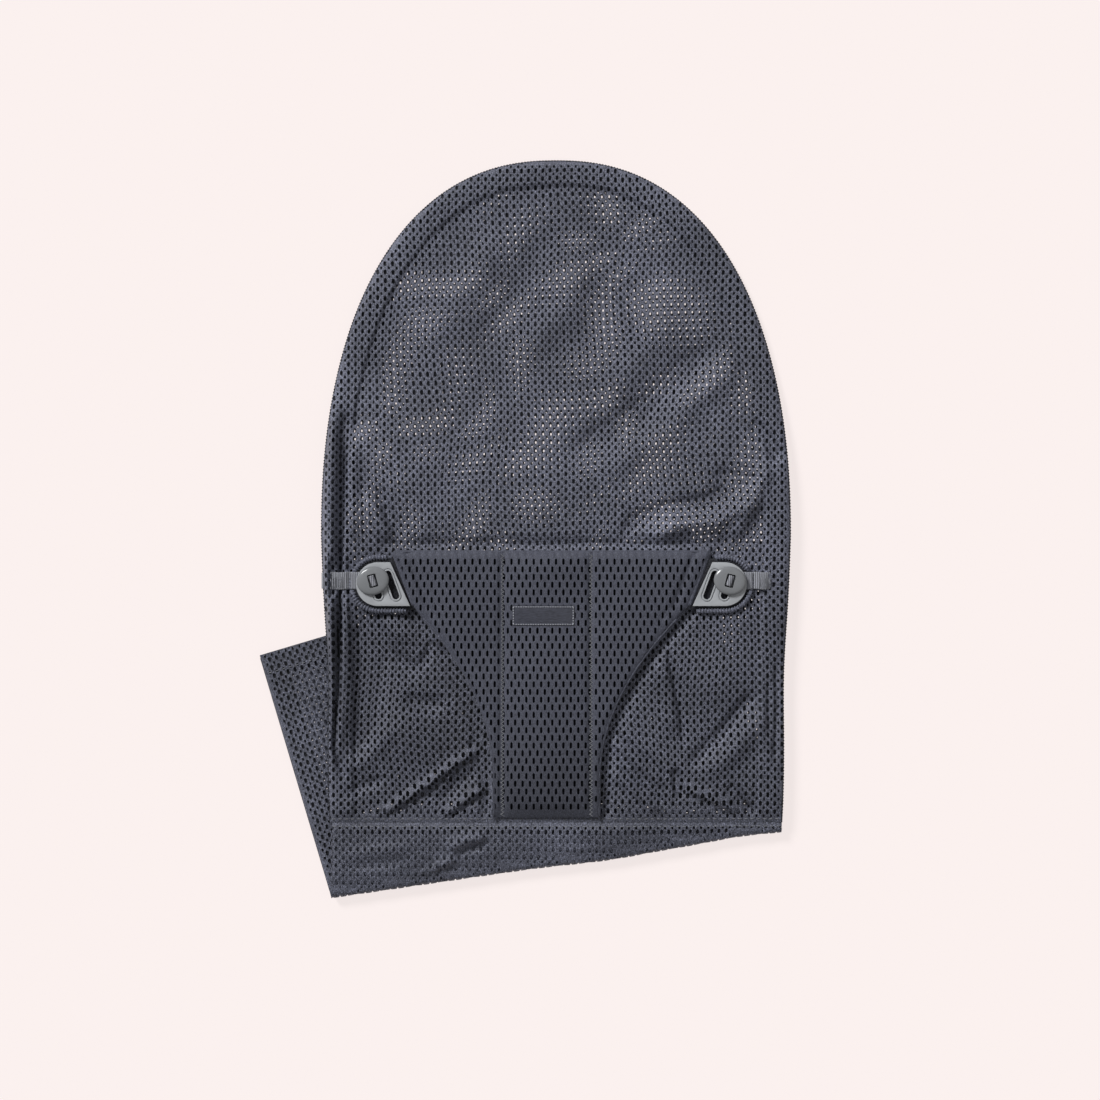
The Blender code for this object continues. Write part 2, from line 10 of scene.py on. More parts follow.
import json
import math
import random

import bmesh
import bpy
import numpy as np
from mathutils import Matrix, Vector


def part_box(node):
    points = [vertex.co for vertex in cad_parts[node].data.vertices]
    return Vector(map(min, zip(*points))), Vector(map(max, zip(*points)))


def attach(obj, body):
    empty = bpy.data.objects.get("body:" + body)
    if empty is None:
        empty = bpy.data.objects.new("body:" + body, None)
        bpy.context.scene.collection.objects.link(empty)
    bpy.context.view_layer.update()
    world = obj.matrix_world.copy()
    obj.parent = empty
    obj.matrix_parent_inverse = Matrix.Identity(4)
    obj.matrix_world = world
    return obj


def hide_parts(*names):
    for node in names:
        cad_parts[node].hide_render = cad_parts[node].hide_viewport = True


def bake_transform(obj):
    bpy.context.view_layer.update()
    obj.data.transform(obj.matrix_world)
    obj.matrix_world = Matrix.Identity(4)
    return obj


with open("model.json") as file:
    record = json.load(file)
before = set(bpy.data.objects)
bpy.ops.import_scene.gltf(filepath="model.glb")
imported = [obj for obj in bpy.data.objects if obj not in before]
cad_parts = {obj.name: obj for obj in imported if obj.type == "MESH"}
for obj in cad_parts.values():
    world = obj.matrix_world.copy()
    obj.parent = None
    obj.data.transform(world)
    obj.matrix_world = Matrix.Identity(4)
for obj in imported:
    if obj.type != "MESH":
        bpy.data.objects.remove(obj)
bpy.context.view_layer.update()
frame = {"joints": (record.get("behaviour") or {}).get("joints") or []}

MM = 0.001
JOINTS = {joint["name"]: joint for joint in frame["joints"]}

# The plan's origin and the crease's direction, from the leg panel's hinge.
CREASE = Vector(JOINTS["leg_fold"]["pos_m"])
CREASE_AXIS = -Vector(JOINTS["leg_fold"]["axis"]).normalized()
CREASE_TILT = math.atan2(CREASE_AXIS.y, CREASE_AXIS.x)


def plan_box(node):
    """A CAD node's box in the seat's plan."""
    low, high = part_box(node)
    shift = Vector((CREASE.x, CREASE.y, 0.0))
    return Vector(low) - shift, Vector(high) - shift


def middle(node):
    """The middle of a CAD node's box in the seat's plan."""
    low, high = plan_box(node)
    return (low + high) / 2


# Seat outline and the heights of its layers.
FRONT_LOW, FRONT_HIGH = plan_box("front_panel")
BACK_LOW, BACK_HIGH = plan_box("back_panel")
STRIP_LOW, STRIP_HIGH = plan_box("strip_front")
HALF_WIDTH = FRONT_HIGH.x
FOOT_HALF_WIDTH = STRIP_HIGH.x
HEAD_Y = FRONT_HIGH.y
SEAM_Y = STRIP_HIGH.y
ARCH_HEIGHT = 0.326
ARCH_Y = HEAD_Y - ARCH_HEIGHT
ARCH_POWER = 2.3
SEAT_TOP = FRONT_HIGH.z
SEAT_UNDER = plan_box("strip_back")[0].z
DRAPE = (0.295, 0.455)  # where the seat is let down from the leg panel to the floor
POCKET_HALF = (SEAT_TOP - SEAT_UNDER) / 2
LEG_LENGTH = 0.2475
WAIST_Y = 0.165  # where the long sides are drawn in most
WAIST_LENGTH = 0.055
ROLL_X = (0.194, 0.199)  # where the left side's roll begins

# The two knits: pitch across and along, and in mm each hole's width, height and flat side.
KNIT_PITCH = (6.25 * MM, 7.3 * MM)
KNIT_CROWN = 0.8 * MM
SPACER_PITCH = (6.4 * MM, 13.2 * MM)
KNIT_HOLES = {1: (2.5, 4.7, 2.8), 2: (1.8, 2.9, 1.6)}
TIGHT_BIG_HOLE = (1.3, 2.3, 1.4)
FRONT_HOLES = {**KNIT_HOLES, 3: (2.9, 5.3, 3.2), 4: (2.3, 4.2, 2.2)}
BACK_HOLES = {1: TIGHT_BIG_HOLE, 2: (0.9, 1.2, 0.7), 3: (0.8, 1.3, 0.8)}
FOLDED_HOLES = {**KNIT_HOLES, 3: TIGHT_BIG_HOLE}
SLOT_HOLES = {kind: (2.0, 5.8, 3.9) for kind in (1, 2)}
COVERED_Y = 0.272  # below this the lower layer's holes are all but shut

# Restraint.
HARNESS_X = middle("harness_lining").x
STEM_X = middle("harness_centre").x
STEM_HALF = 0.047
HARNESS_FOOT = plan_box("harness_centre")[0].y
HARNESS_TOP = plan_box("harness_centre")[1].y
HARNESS_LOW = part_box("harness_lining")[0][2]
SEAM_HALF = (middle("harness_seam_right").x - middle("harness_seam_left").x) / 2
WING_FOOT = 0.2235
WING_FOOT_X = 0.1205
WING_TIP_X = 0.1387
STEM_TOP = 0.075

# Plates and fastenings.
PLATE_Y = middle("plate_left").y
PLATE_HALF_HEIGHT = 0.0189
PLATE_ROUND_X = 0.1496
PLATE_TOP_X = 0.1390
PLATE_FOOT_X = 0.1218
PLATE_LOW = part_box("plate_left")[0][2]
PLATE_FACE = 20.2 * MM
SLOT_LENGTH = 0.026
SLOT_WIDTH = 0.006
SLOT_LEAN = math.radians(20)
OUTER_SLOT = (0.1525, 0.2414)
INNER_SLOT = (0.1375, 0.2412)
STRAP_Y = middle("strap_left").y
STRAP_INNER_X = (0.150, 0.160)  # how far out of the restraint's middle a strap begins
STRAP_HALF = 7.5 * MM
LOOP_HALF = 4.7 * MM

# A button from its crown to its foot: share of its reach, and height in mm.
BUTTON_PROFILE = (
    (0.00, 4.00), (0.25, 3.97), (0.45, 3.86), (0.62, 3.66), (0.76, 3.34), (0.87, 2.92),
    (0.945, 2.36), (0.985, 1.80), (1.00, 1.35), (0.99, 0.95), (0.95, 0.55), (0.88, 0.22),
    (0.80, 0.05), (0.50, 0.00), (0.00, 0.00),
)


# ---------------------------------------------------------------- camera, light and floor


def make_camera():
    """A camera straight above the seat."""
    data = bpy.data.cameras.new("camera")
    data.lens = 85.0
    data.sensor_width = 36.0
    camera = bpy.data.objects.new("camera", data)
    seen_width = 0.957
    height = data.lens * seen_width / data.sensor_width
    camera.location = (0.0221, -0.0191, height)
    bpy.context.scene.collection.objects.link(camera)
    bpy.context.scene.camera = camera


def make_light(name, towards, spread, strength):
    """An even light from one side of the sky."""
    data = bpy.data.lights.new(name, "SUN")
    data.angle = math.radians(spread)
    data.energy = strength
    light = bpy.data.objects.new(name, data)
    light.location = towards
    light.rotation_euler = (-Vector(towards)).to_track_quat("-Z", "Y").to_euler()
    bpy.context.scene.collection.objects.link(light)


def make_stage():
    """Soft light from above the head end and a pale floor that glows a little."""
    world = bpy.data.worlds.new("studio")
    world.use_nodes = True
    sky = world.node_tree.nodes["Background"].inputs
    sky["Color"].default_value = (1.0, 0.985, 0.98, 1)
    sky["Strength"].default_value = 0.20
    bpy.context.scene.world = world
    make_light("key_light", (-1.25, 1.35, 1.35), 17.0, 3.3)
    make_light("fill_light", (1.2, -0.2, 1.6), 70.0, 0.35)
    bpy.context.scene.view_settings.view_transform = "Standard"

    mesh_tool = bmesh.new()
    bmesh.ops.create_grid(mesh_tool, x_segments=1, y_segments=1, size=6.0)
    bmesh.ops.translate(mesh_tool, vec=(0, 0, -0.6 * MM), verts=mesh_tool.verts)
    floor = plain_object("floor", mesh_tool)
    glow = {"Emission_Color": (1.0, 0.911, 0.894, 1), "Emission_Strength": 0.82}
    paint = Paint("pale_floor", 1.0, (0.16, 0.145, 0.142), Specular_IOR_Level=0.0, **glow)
    floor.data.materials.append(paint.material)


# ---------------------------------------------------------------- materials


class Wire:
    """A shader socket whose sums and products are Math nodes."""

    def __init__(self, tree, socket):
        self.tree = tree
        self.socket = socket

    def _maths(self, operation, other):
        node = self.tree.nodes.new("ShaderNodeMath")
        node.operation = operation
        self.tree.links.new(self.socket, node.inputs[0])
        if isinstance(other, Wire):
            self.tree.links.new(other.socket, node.inputs[1])
        else:
            node.inputs[1].default_value = other
        return Wire(self.tree, node.outputs[0])

    def __add__(self, other):
        return self._maths("ADD", other)

    def __mul__(self, other):
        return self._maths("MULTIPLY", other)


class Paint:
    """A material being made, with its Principled shader."""

    def __init__(self, name, roughness, colour=(0.5, 0.5, 0.5), **fixed):
        self.material = bpy.data.materials.new(name)
        self.material.use_nodes = True
        self.tree = self.material.node_tree
        self.shader = self.tree.nodes["Principled BSDF"]
        fixed.update(Base_Color=(*colour, 1.0), Roughness=roughness)
        for socket, value in fixed.items():
            self.shader.inputs[socket.replace("_", " ")].default_value = value

    def node(self, kind, settings=None, **inputs):
        """Add a node, set it up, then fill or link its sockets; its first output comes back."""
        made = self.tree.nodes.new(kind)
        for name, value in (settings or {}).items():
            setattr(made, name, value)
        for name, value in inputs.items():
            if isinstance(value, Wire):
                self.tree.links.new(value.socket, made.inputs[name])
            else:
                made.inputs[name].default_value = value
        return Wire(self.tree, made.outputs[0])

    def place(self):
        """The piece's own coordinates, in metres."""
        made = self.tree.nodes.new("ShaderNodeTexCoord")
        return Wire(self.tree, made.outputs["Object"])

    def shade(self, low, high, first):
        """A value that goes along y from first at low to 0 at high."""
        parts = self.tree.nodes.new("ShaderNodeSeparateXYZ")
        self.tree.links.new(self.place().socket, parts.inputs[0])
        along = Wire(self.tree, parts.outputs["Y"])
        ranged = {"From Min": low, "From Max": high, "To Min": first, "To Max": 0.0}
        return self.node("ShaderNodeMapRange", Value=along, **ranged)

    def noise(self, scale, detail=2.0, roughness=0.6):
        """Noise; scale is its cells to the metre, one number or one for each axis."""
        where = self.place()
        if isinstance(scale, tuple):
            where = self.node("ShaderNodeMapping", Vector=where, Scale=scale)
            scale = 1.0
        sockets = {"Scale": scale, "Detail": detail, "Roughness": roughness}
        return self.node("ShaderNodeTexNoise", Vector=where, **sockets)

    def colour(self, factor, level, *stops, tint=(0.90, 0.955, 1.29)):
        """Tinted greys along a factor; each stop is a place and a share of the level."""
        made = self.tree.nodes.new("ShaderNodeValToRGB")
        ramp = made.color_ramp.elements
        for number, (place, share) in enumerate(stops):
            stop = ramp[number] if number < 2 else ramp.new(place)
            stop.position = place
            stop.color = (*(level * share * part for part in tint), 1.0)
        self.tree.links.new(factor.socket, made.inputs["Fac"])
        self.tree.links.new(made.outputs[0], self.shader.inputs["Base Color"])

    def bump(self, height, strength, distance):
        """Raise the surface by a height map."""
        made = self.node("ShaderNodeBump", Height=height, Strength=strength, Distance=distance)
        self.tree.links.new(made.socket, self.shader.inputs["Normal"])
        return self.material


def knit_paint(name, level, gloss=0.42, lower_shade=-0.035):
    """Open knitted polyester: stitches a millimetre apart, lit and shaded loop by loop, with painted
    shade that darkens it towards its lower part.
    """
    sheen = {"Sheen_Weight": 0.28 * gloss, "Sheen_Roughness": 0.45}
    paint = Paint(name, 0.55, Specular_IOR_Level=gloss, **sheen)
    loops = paint.noise(900.0)
    yarns = paint.noise((1500.0, 420.0, 1500.0), 1.0, 0.5)
    worn = paint.noise(14.0, 3.0, 0.5)
    # Painted shade: below the start of the arch the colour is darkened, fully so 80 mm further down.
    lower = ARCH_Y + CREASE.y
    shade = paint.shade(lower - 0.08, lower, lower_shade)
    mixed = loops * 0.50 + yarns * 0.35 + worn * 0.15 + shade
    paint.colour(mixed, level, (0.35, 0.22), (0.50, 1.0), (0.65, 2.7))
    return paint.bump(loops * 0.6 + yarns * 0.4, 0.9, 1.1 * MM)


def spacer_paint(name, level):
    """The restraint's spacer mesh, a finer and smoother knit."""
    paint = Paint(name, 0.66, Specular_IOR_Level=0.3, Sheen_Weight=0.15, Sheen_Roughness=0.4)
    mixed = paint.noise(1300.0) * 0.5 + paint.noise((1800.0, 500.0, 1800.0), 1.0, 0.5) * 0.5
    # Painted shade: the mesh is painted darker towards the restraint's foot, fading out 95 mm above
    # it.
    foot = HARNESS_FOOT + CREASE.y
    shaded = mixed + paint.shade(foot + 5 * MM, foot + 95 * MM, -0.14)
    paint.colour(shaded, level, (0.30, 0.45), (0.50, 1.0), (0.68, 1.7))
    return paint.bump(mixed, 0.7, 0.7 * MM)


def core_paint(name, level):
    """Dark filaments inside the spacer mesh."""
    paint = Paint(name, 0.95, Specular_IOR_Level=0.0)
    threads = paint.noise(1600.0, 2.0, 0.7)
    paint.colour(threads, level, (0.40, 0.15), (0.66, 1.0))
    return paint.bump(threads, 0.6, 0.5 * MM)


def plastic_paint(name, level, roughness):
    """Moulded plastic with a fine spark-eroded grain and faint handling marks."""
    paint = Paint(name, roughness, Specular_IOR_Level=0.45)
    grain = paint.noise(2600.0)
    marks = paint.noise(60.0, 4.0)
    tone = marks * 0.8 + grain * 0.2
    paint.colour(tone, level, (0.30, 0.93), (0.70, 1.06), tint=(0.955, 0.995, 1.05))
    rough = marks * 0.12 + (roughness - 0.06)
    paint.tree.links.new(rough.socket, paint.shader.inputs["Roughness"])
    return paint.bump(grain, 0.12, 0.08 * MM)


WEB_TINT = (0.95, 0.98, 1.10)


def webbing_paint(name, level):
    """Ribbed woven webbing."""
    paint = Paint(name, 0.7, Specular_IOR_Level=0.35, Sheen_Weight=0.2, Sheen_Roughness=0.4)
    bands = {"wave_type": "BANDS", "bands_direction": "X"}
    ribs = {"Scale": 170.0, "Distortion": 0.6, "Detail": 1.0}
    weft = paint.node("ShaderNodeTexWave", bands, Vector=paint.place(), **ribs)
    mixed = weft * 0.45 + paint.noise(2200.0) * 0.55
    paint.colour(mixed, level, (0.25, 0.45), (0.50, 1.0), (0.75, 1.5), tint=WEB_TINT)
    return paint.bump(mixed, 0.8, 0.6 * MM)


def satin_paint(name, level):
    """Blank woven satin label."""
    paint = Paint(name, 0.38, Specular_IOR_Level=0.5)
    floats = paint.noise((300.0, 4200.0, 300.0), 2.0, 0.5)
    paint.colour(floats, level, (0.35, 1.0), (0.65, 2.4))
    return paint.bump(floats, 0.3, 0.1 * MM)


def thread_paint(name, level):
    """Sewing thread with a twist."""
    paint = Paint(name, 0.55, Specular_IOR_Level=0.4)
    paint.colour(paint.noise(2500.0, 1.0, 0.5), level, (0.3, 0.7), (0.7, 1.4), tint=WEB_TINT)
    return paint.material


CLOTH = knit_paint("mesh_cloth", 0.107)
# Painted shade: the same knit painted far darker, standing for the shade on the seat's lower layer
# and on the rolled seam round the outline.
SHADED_UNDER_CLOTH = knit_paint("mesh_under_cloth_painted_shade", 0.020, 0.2, -0.13)
# Painted shade: the same knit painted darker still, standing for the shade on the turned-in
# allowance, the plate tabs, the seam tape and the leg panel's bands.
SHADED_LINER = knit_paint("mesh_liner_painted_shade", 0.016, 0.2, -0.06)
SPACER = spacer_paint("spacer_mesh", 0.074)
CORE = core_paint("harness_core_dark", 0.010)
PLATE = plastic_paint("plate_plastic", 0.38, 0.46)
BUTTON = plastic_paint("button_plastic", 0.21, 0.20)
WEBBING = webbing_paint("strap_webbing", 0.23)
SATIN = satin_paint("label_satin", 0.030)
THREAD = thread_paint("seam_thread", 0.16)
LABEL_THREAD = thread_paint("label_thread", 0.42)


# ---------------------------------------------------------------- shaping


def smooth(low, high, value):
    """A smooth step from 0 at low to 1 at high."""
    share = np.clip((value - low) / (high - low), 0.0, 1.0)
    return share * share * (3.0 - 2.0 * share)


def route_distance(x, y, route):
    """Distance to a route of straight runs, how far along it from 0 to 1, and the side."""
    best = np.full(x.shape, 1e9)
    along = np.zeros(x.shape)
    sense = np.zeros(x.shape)
    lengths = [math.dist(a, b) for a, b in zip(route, route[1:])]
    total = sum(lengths)
    passed = 0.0
    for (ax, ay), (bx, by), length in zip(route, route[1:], lengths):
        share = np.clip(((x - ax) * (bx - ax) + (y - ay) * (by - ay)) / length**2, 0.0, 1.0)
        gap = np.hypot(x - ax - share * (bx - ax), y - ay - share * (by - ay))
        nearer = gap < best
        right = (x - ax) * (by - ay) - (y - ay) * (bx - ax)
        sense = np.where(nearer, np.sign(right), sense)
        best = np.where(nearer, gap, best)
        along = np.where(nearer, (passed + share * length) / total, along)
        passed += length
    return best, along, sense


def hump(gap, width):
    """1 where gap is 0, falling off smoothly over a width."""
    return np.exp(-((gap / width) ** 2))


def in_metres(route):
    """A route of places given in mm."""
    return [(x / 1000, y / 1000) for x, y in route]


def dying_out(along, taper):
    """1 along the middle of a route and 0 at its two ends."""
    return smooth(0.0, taper, along) * smooth(0.0, taper, 1.0 - along)


def fold(x, y, route, height, width, taper=0.25):
    """One ridge, or valley if height is negative, along a route, dying out at its ends."""
    gap, along, _ = route_distance(x, y, in_metres(route))
    return 1.35 * height * MM * dying_out(along, taper) * hump(gap, width * MM)


def pleat(x, y, route, height, width, taper=0.25, furrowed=0.75):
    """A ridge with a sharp furrow along its right-hand side."""
    gap, along, side = route_distance(x, y, in_metres(route))
    out = gap * side / (width * MM)
    ridge = hump(np.where(out > 0, out * 1.5, out), 1.0)
    furrow = hump(out - 1.25, 0.5)
    return height * MM * dying_out(along, taper) * (1.3 * ridge - furrowed * furrow)


def bulge(x, y, route, height, reach):
    """A soft swelling, or a hollow if height is negative, round one place."""
    [(middle_x, middle_y)] = in_metres(route)
    return height * MM * hump(np.hypot(x - middle_x, y - middle_y), reach * MM)


def add_folds(rise, x, y, rows):
    """Add a table's folds to a height; each row is a kind, its route and its sizes in mm."""
    for kind, route, *sizes in rows:
        rise = rise + kind(x, y, route, *sizes)
    return rise


def ripple(x, y, length, seed):
    """Smooth waviness between -1 and 1 with a given wavelength."""
    draw = random.Random(seed)
    total = np.zeros(x.shape)
    for _ in range(5):
        angle = draw.uniform(0.0, math.pi)
        turn = 2 * math.pi / (length * draw.uniform(0.75, 1.35))
        phase = draw.uniform(0.0, 2 * math.pi)
        total += np.sin((x * math.cos(angle) + y * math.sin(angle)) * turn + phase)
    return total / 5


def side_reach(y):
    """How far the seat's long sides stand from its middle line; they are drawn in a little."""
    reach = FOOT_HALF_WIDTH + (HALF_WIDTH - FOOT_HALF_WIDTH) * np.clip(y, 0.0, ARCH_Y) / ARCH_Y
    return reach - 2.6 * MM * hump(y - WAIST_Y, WAIST_LENGTH)


def arch_level(x, y):
    """Below 0 inside the seat's outline, 0 on it; the scale is close to metres near it."""
    across = np.abs(x) / side_reach(y)
    along = np.clip(y - ARCH_Y, 0.0, None) / (HEAD_Y - ARCH_Y)
    level = (across**ARCH_POWER + along**ARCH_POWER) ** (1.0 / ARCH_POWER)
    return (level - 1.0) * HALF_WIDTH


def arch_line(steps, inset=0.0, foot_y=-0.03):
    """Points round the seat's outline, from its right foot over the head to its left foot."""
    levels = np.linspace(foot_y, ARCH_Y, 16)[:-1]
    right = [(float(side_reach(y)) - inset, float(y)) for y in levels]
    arch = []
    for step in range(steps + 1):
        angle = math.pi * step / steps
        across = math.copysign(abs(math.cos(angle)) ** (2 / ARCH_POWER), math.cos(angle))
        along = max(math.sin(angle), 0.0) ** (2 / ARCH_POWER)
        x = (HALF_WIDTH - inset) * across
        arch.append((x, ARCH_Y + (HEAD_Y - ARCH_Y - inset) * along))
    return right + arch + [(-x, y) for x, y in reversed(right)]


ARCH = arch_line(96)


def edge_gap(x, y):
    """Distance in from the seat's outline."""
    return route_distance(x, y, ARCH)[0]


def drape(y):
    """How far the seat is let down at y, from the folded leg panel to the floor."""
    return SEAT_UNDER * smooth(*DRAPE, y)


def pocket_middle(y):
    """The height of the middle of the seat's pocket."""
    return (SEAT_UNDER + SEAT_TOP) / 2 - drape(y)


def rounded(gap, radius):
    """The rise of a round edge, from 0 on the edge to 1 past its radius."""
    share = np.clip(gap / radius, 0.0, 1.0)
    return np.sqrt(1.0 - (1.0 - share) ** 2)


# Ridges where the cloth is drawn tight and its holes are pulled wide, in mm.
RIDGE = ((-164, 34), (-139, 50), (-112, 68), (-89, 85), (-55, 107))
LOW_RIDGE = ((-103, 36), (-79, 55), (-54, 70))
PATCH = ((108, 67), (130, 58), (160, 43))

# Folds: each one's kind, its route, height and width in mm, and how it dies out.
LOWER_FOLDS = (
    # The left side lies in a roll along its edge, with a deep furrow inside it.
    (fold, ((-194, 410), (-196.5, 270), (-195, 170), (-197, 60)), 5.2, 7.0, 0.12),
    (fold, ((-182, 395), (-185, 330), (-186.5, 276), (-187, 228), (-188.5, 190), (-189, 150),
      (-192.5, 100), (-180, 70)), -9.5, 3.2, 0.10),
    (fold, ((-186, 300), (-187, 200), (-188, 130), (-190, 85)), 4.6, 12, 0.2),
    (fold, ((-160, 280), (-158, 200), (-162, 130), (-174, 80)), -5.0, 12, 0.2),
    (fold, ((-174, 370), (-176, 320), (-174, 275)), 3.4, 6),
    (bulge, ((-181, 378),), -4.0, 12),
    (fold, ((-157, 330), (-144, 300), (-130, 277)), -4.0, 5),
    (fold, ((-167, 322), (-152, 296), (-141, 276)), 3.0, 6, 0.3),
    # Lower left: the cloth is drawn to the restraint's edge in fans.
    (fold, ((-176, 232), (-140, 202), (-118, 188)), 3.2, 8, 0.3),
    (fold, ((-184, 205), (-139, 178), (-112, 162)), -3.4, 5),
    (bulge, ((-99, 196),), 5.0, 9),
    (fold, ((-105, 194), (-111, 181), (-118, 169)), -4.5, 3.2),
    (bulge, ((-130, 116),), 5.5, 24),
    (fold, ((-136, 143), (-116, 139), (-94, 137)), -3.6, 7, 0.3),
    (fold, ((-76, 100), (-66, 107), (-56, 115)), -6.0, 3.0, 0.2),
    (pleat, RIDGE, 4.6, 4.0, 0.35, 0.4),
    (fold, ((-105, 50), (-85, 69), (-54, 94)), -2.6, 5.0, 0.3),
    (pleat, LOW_RIDGE, 3.4, 3.6, 0.35, 0.4),
    (fold, ((-188, 78), (-162, 92), (-138, 124)), 3.0, 8, 0.3),
    (fold, ((-188, 58), (-166, 68), (-143, 75)), -2.4, 4.5, 0.3),
    # Lower right: a thin standing crease and folds that fan out below it.
    (fold, ((95, 190), (104.5, 150), (109, 127), (110.5, 98)), -4.6, 2.3, 0.2),
    (fold, ((85, 182), (96, 145), (101, 106)), 2.8, 6),
    (fold, ((174, 152), (142, 112.5), (112, 81)), -3.6, 5, 0.2),
    (fold, ((187, 137), (156, 99), (125, 71)), 3.6, 9, 0.3),
    (bulge, ((142, 162),), 5.0, 26),
    (fold, ((102, 84), (104.5, 70), (108, 56)), -6.0, 3.6),
    (pleat, PATCH, 3.4, 4.2, 0.3, 0.4),
    (fold, ((147, 69), (160, 56), (173, 42)), -4.0, 3.4, 0.2),
    (pleat, ((97, 67), (77, 83), (46, 110)), 4.0, 4.8, 0.2),
    (pleat, ((94, 44), (70, 62), (46, 82)), 3.4, 4.6, 0.2),
    (fold, ((190, 185), (191, 130), (188, 80)), -2.6, 2.6, 0.2),
    (fold, ((183.5, 165), (184.5, 105)), -2.4, 2.4, 0.3),
)
UPPER_FOLDS = (
    # Upper right: long soft folds that run down to the plate, and a hollow at the side.
    (fold, ((150, 455), (112, 430), (70, 388), (0, 350)), -3.5, 9),
    (fold, ((166, 440), (125, 405), (85, 365), (20, 325)), 3.0, 11),
    (fold, ((168, 384), (184, 366), (196, 345)), -5.0, 6),
    (fold, ((132, 338), (156, 333), (180, 334)), -3.5, 6),
    (fold, ((52, 276), (68, 296), (95, 308), (130, 313), (168, 332)), -5.0, 6, 0.2),
    (fold, ((76, 276), (104, 293), (138, 295), (178, 318)), 5.0, 7),
    (fold, ((182, 350), (172, 315), (150, 276)), 4.0, 7, 0.2),
    # Upper middle: shallow runs from the head end.
    (fold, ((-40, 560), (-75, 500), (-120, 440)), 2.0, 15, 0.3),
    (fold, ((30, 550), (10, 480), (-50, 420)), 2.0, 14, 0.3),
    (fold, ((0, 560), (-30, 500), (-80, 430)), -1.8, 12, 0.3),
    (fold, ((105, 520), (90, 460), (40, 400)), 2.0, 13, 0.3),
)
STRIP_FOLDS = (
    (fold, ((-96, 18), (-78, 24), (-58, 29)), 3.6, 5),
    (fold, ((-94, 8), (-74, 18), (-52, 24)), -2.0, 3.5, 0.45),
    (fold, ((-128, -14), (-106, -1), (-84, 11)), 3.0, 4),
    (fold, ((-124, -20), (-100, -6), (-76, 6)), -1.6, 3, 0.45),
    (fold, ((-185, 12), (-150, 16), (-115, 22)), 1.6, 5, 0.3),
    (fold, ((-190, 0), (-150, 4), (-120, 8)), -1.4, 4, 0.3),
    (fold, ((-20, 12), (30, 14), (90, 20)), 1.6, 6, 0.3),
    (fold, ((-40, 4), (10, 6), (60, 13)), -1.4, 5, 0.3),
)


def front_folds(x, y):
    """The folds of the seat's upper layer."""
    rise = ripple(x, y, 0.105, 3) * 1.8 * MM + ripple(x, y, 0.047, 8) * 0.7 * MM
    rise = add_folds(rise, x, y, LOWER_FOLDS)
    rise = rise - 3.4 * MM * hump(harness_level(x, y) - 5 * MM, 5 * MM)
    return add_folds(rise, x, y, UPPER_FOLDS)


def seam_sink(x):
    """How far the cross seam lies below the seat's own level where the crease is close to it."""
    out = unfold(x, SEAM_Y + taken_up(True))[1]
    spread = smooth(0.0, 22 * MM, out - OUTER_NOSE * math.pi / 2)
    side = rounded(FOOT_HALF_WIDTH - np.abs(x), 6 * MM)
    reach = (SEAT_UNDER + SEAT_TOP) / 2 - CREASE.z + (POCKET_HALF - 0.6 * MM) * side
    return (reach - OUTER_NOSE) * (1.0 - spread)


def front_height(x, y, gap):
    """The height of the seat's upper layer."""
    calm = rounded(gap, 9 * MM)
    near_seam = smooth(SEAM_Y, SEAM_Y + 12 * MM, y)
    step = 2.3 * MM * (1.0 - smooth(20 * MM, 22.5 * MM, gap)) * near_seam
    folds = front_folds(x, y) * smooth(0.0, 6 * MM, gap) * near_seam
    strapped = 1.0 - smooth(8.5 * MM, 24 * MM, np.abs(y - STRAP_Y))
    strapped = strapped * smooth(*STRAP_INNER_X, np.abs(x - HARNESS_X))
    strapped = strapped * (1.0 - smooth(*ROLL_X, np.abs(x)))
    folds = folds * (1.0 - strapped) + np.minimum(folds, -0.3 * MM) * strapped
    under = (y < HARNESS_TOP) & (np.abs(x - HARNESS_X) < 0.13)
    cover = harness_cover(x, y)
    folds = np.where(under, folds * (1.0 - cover) + np.minimum(folds, 0.3 * MM) * cover, folds)
    seam = -1.6 * MM * hump(y - SEAM_Y, 4 * MM)
    level = pocket_middle(y) + (POCKET_HALF - 0.4 * MM + step) * calm + folds + seam * calm
    level -= seam_sink(x) * (1.0 - smooth(SEAM_Y, SEAM_Y + 30 * MM, y))
    past_mouth = smooth(SEAM_Y + 4 * MM, BACK_LOW.y + 10 * MM, y)
    bed = back_height(x, y, gap) + 1.6 * MM * calm - 8 * MM * (1.0 - past_mouth)
    return np.maximum(level, bed)


def back_height(x, y, gap):
    """The height of the seat's lower layer."""
    calm = rounded(gap, 9 * MM)
    waves = (ripple(x, y, 0.09, 21) * 0.6 * MM + 0.7 * MM) * smooth(4 * MM, 20 * MM, gap)
    return pocket_middle(y) - (POCKET_HALF - 1.2 * MM) * calm + waves * 0.8


# ---------------------------------------------------------------- the restraint's outline


def harness_edge(y):
    """How far the restraint reaches from its middle at y."""
    share = np.clip((y - STEM_TOP) / (WING_FOOT - STEM_TOP), 0.0, 1.0)
    curve = STEM_HALF + (WING_FOOT_X - STEM_HALF) * share**2
    slope = (WING_TIP_X - WING_FOOT_X) / (HARNESS_TOP - WING_FOOT)
    wing = WING_FOOT_X + slope * (y - WING_FOOT)
    return np.where(y > WING_FOOT, wing, curve)


def harness_middle(y):
    """The x of the restraint's middle line, which leans a little."""
    return STEM_X + (HARNESS_X - STEM_X) * smooth(STEM_TOP, HARNESS_TOP, y)


def harness_level(x, y):
    """Below 0 inside the restraint's outline, about in metres."""
    side = np.abs(x - harness_middle(y)) - harness_edge(y)
    slope = np.where((y > STEM_TOP) & (y < WING_FOOT), 0.72, 0.95)
    return np.maximum(side * slope, np.maximum(y - HARNESS_TOP, HARNESS_FOOT - y))


def harness_cover(x, y):
    """1 well under the restraint, 0 outside it."""
    return smooth(-0.001, 0.008, -harness_level(x, y))


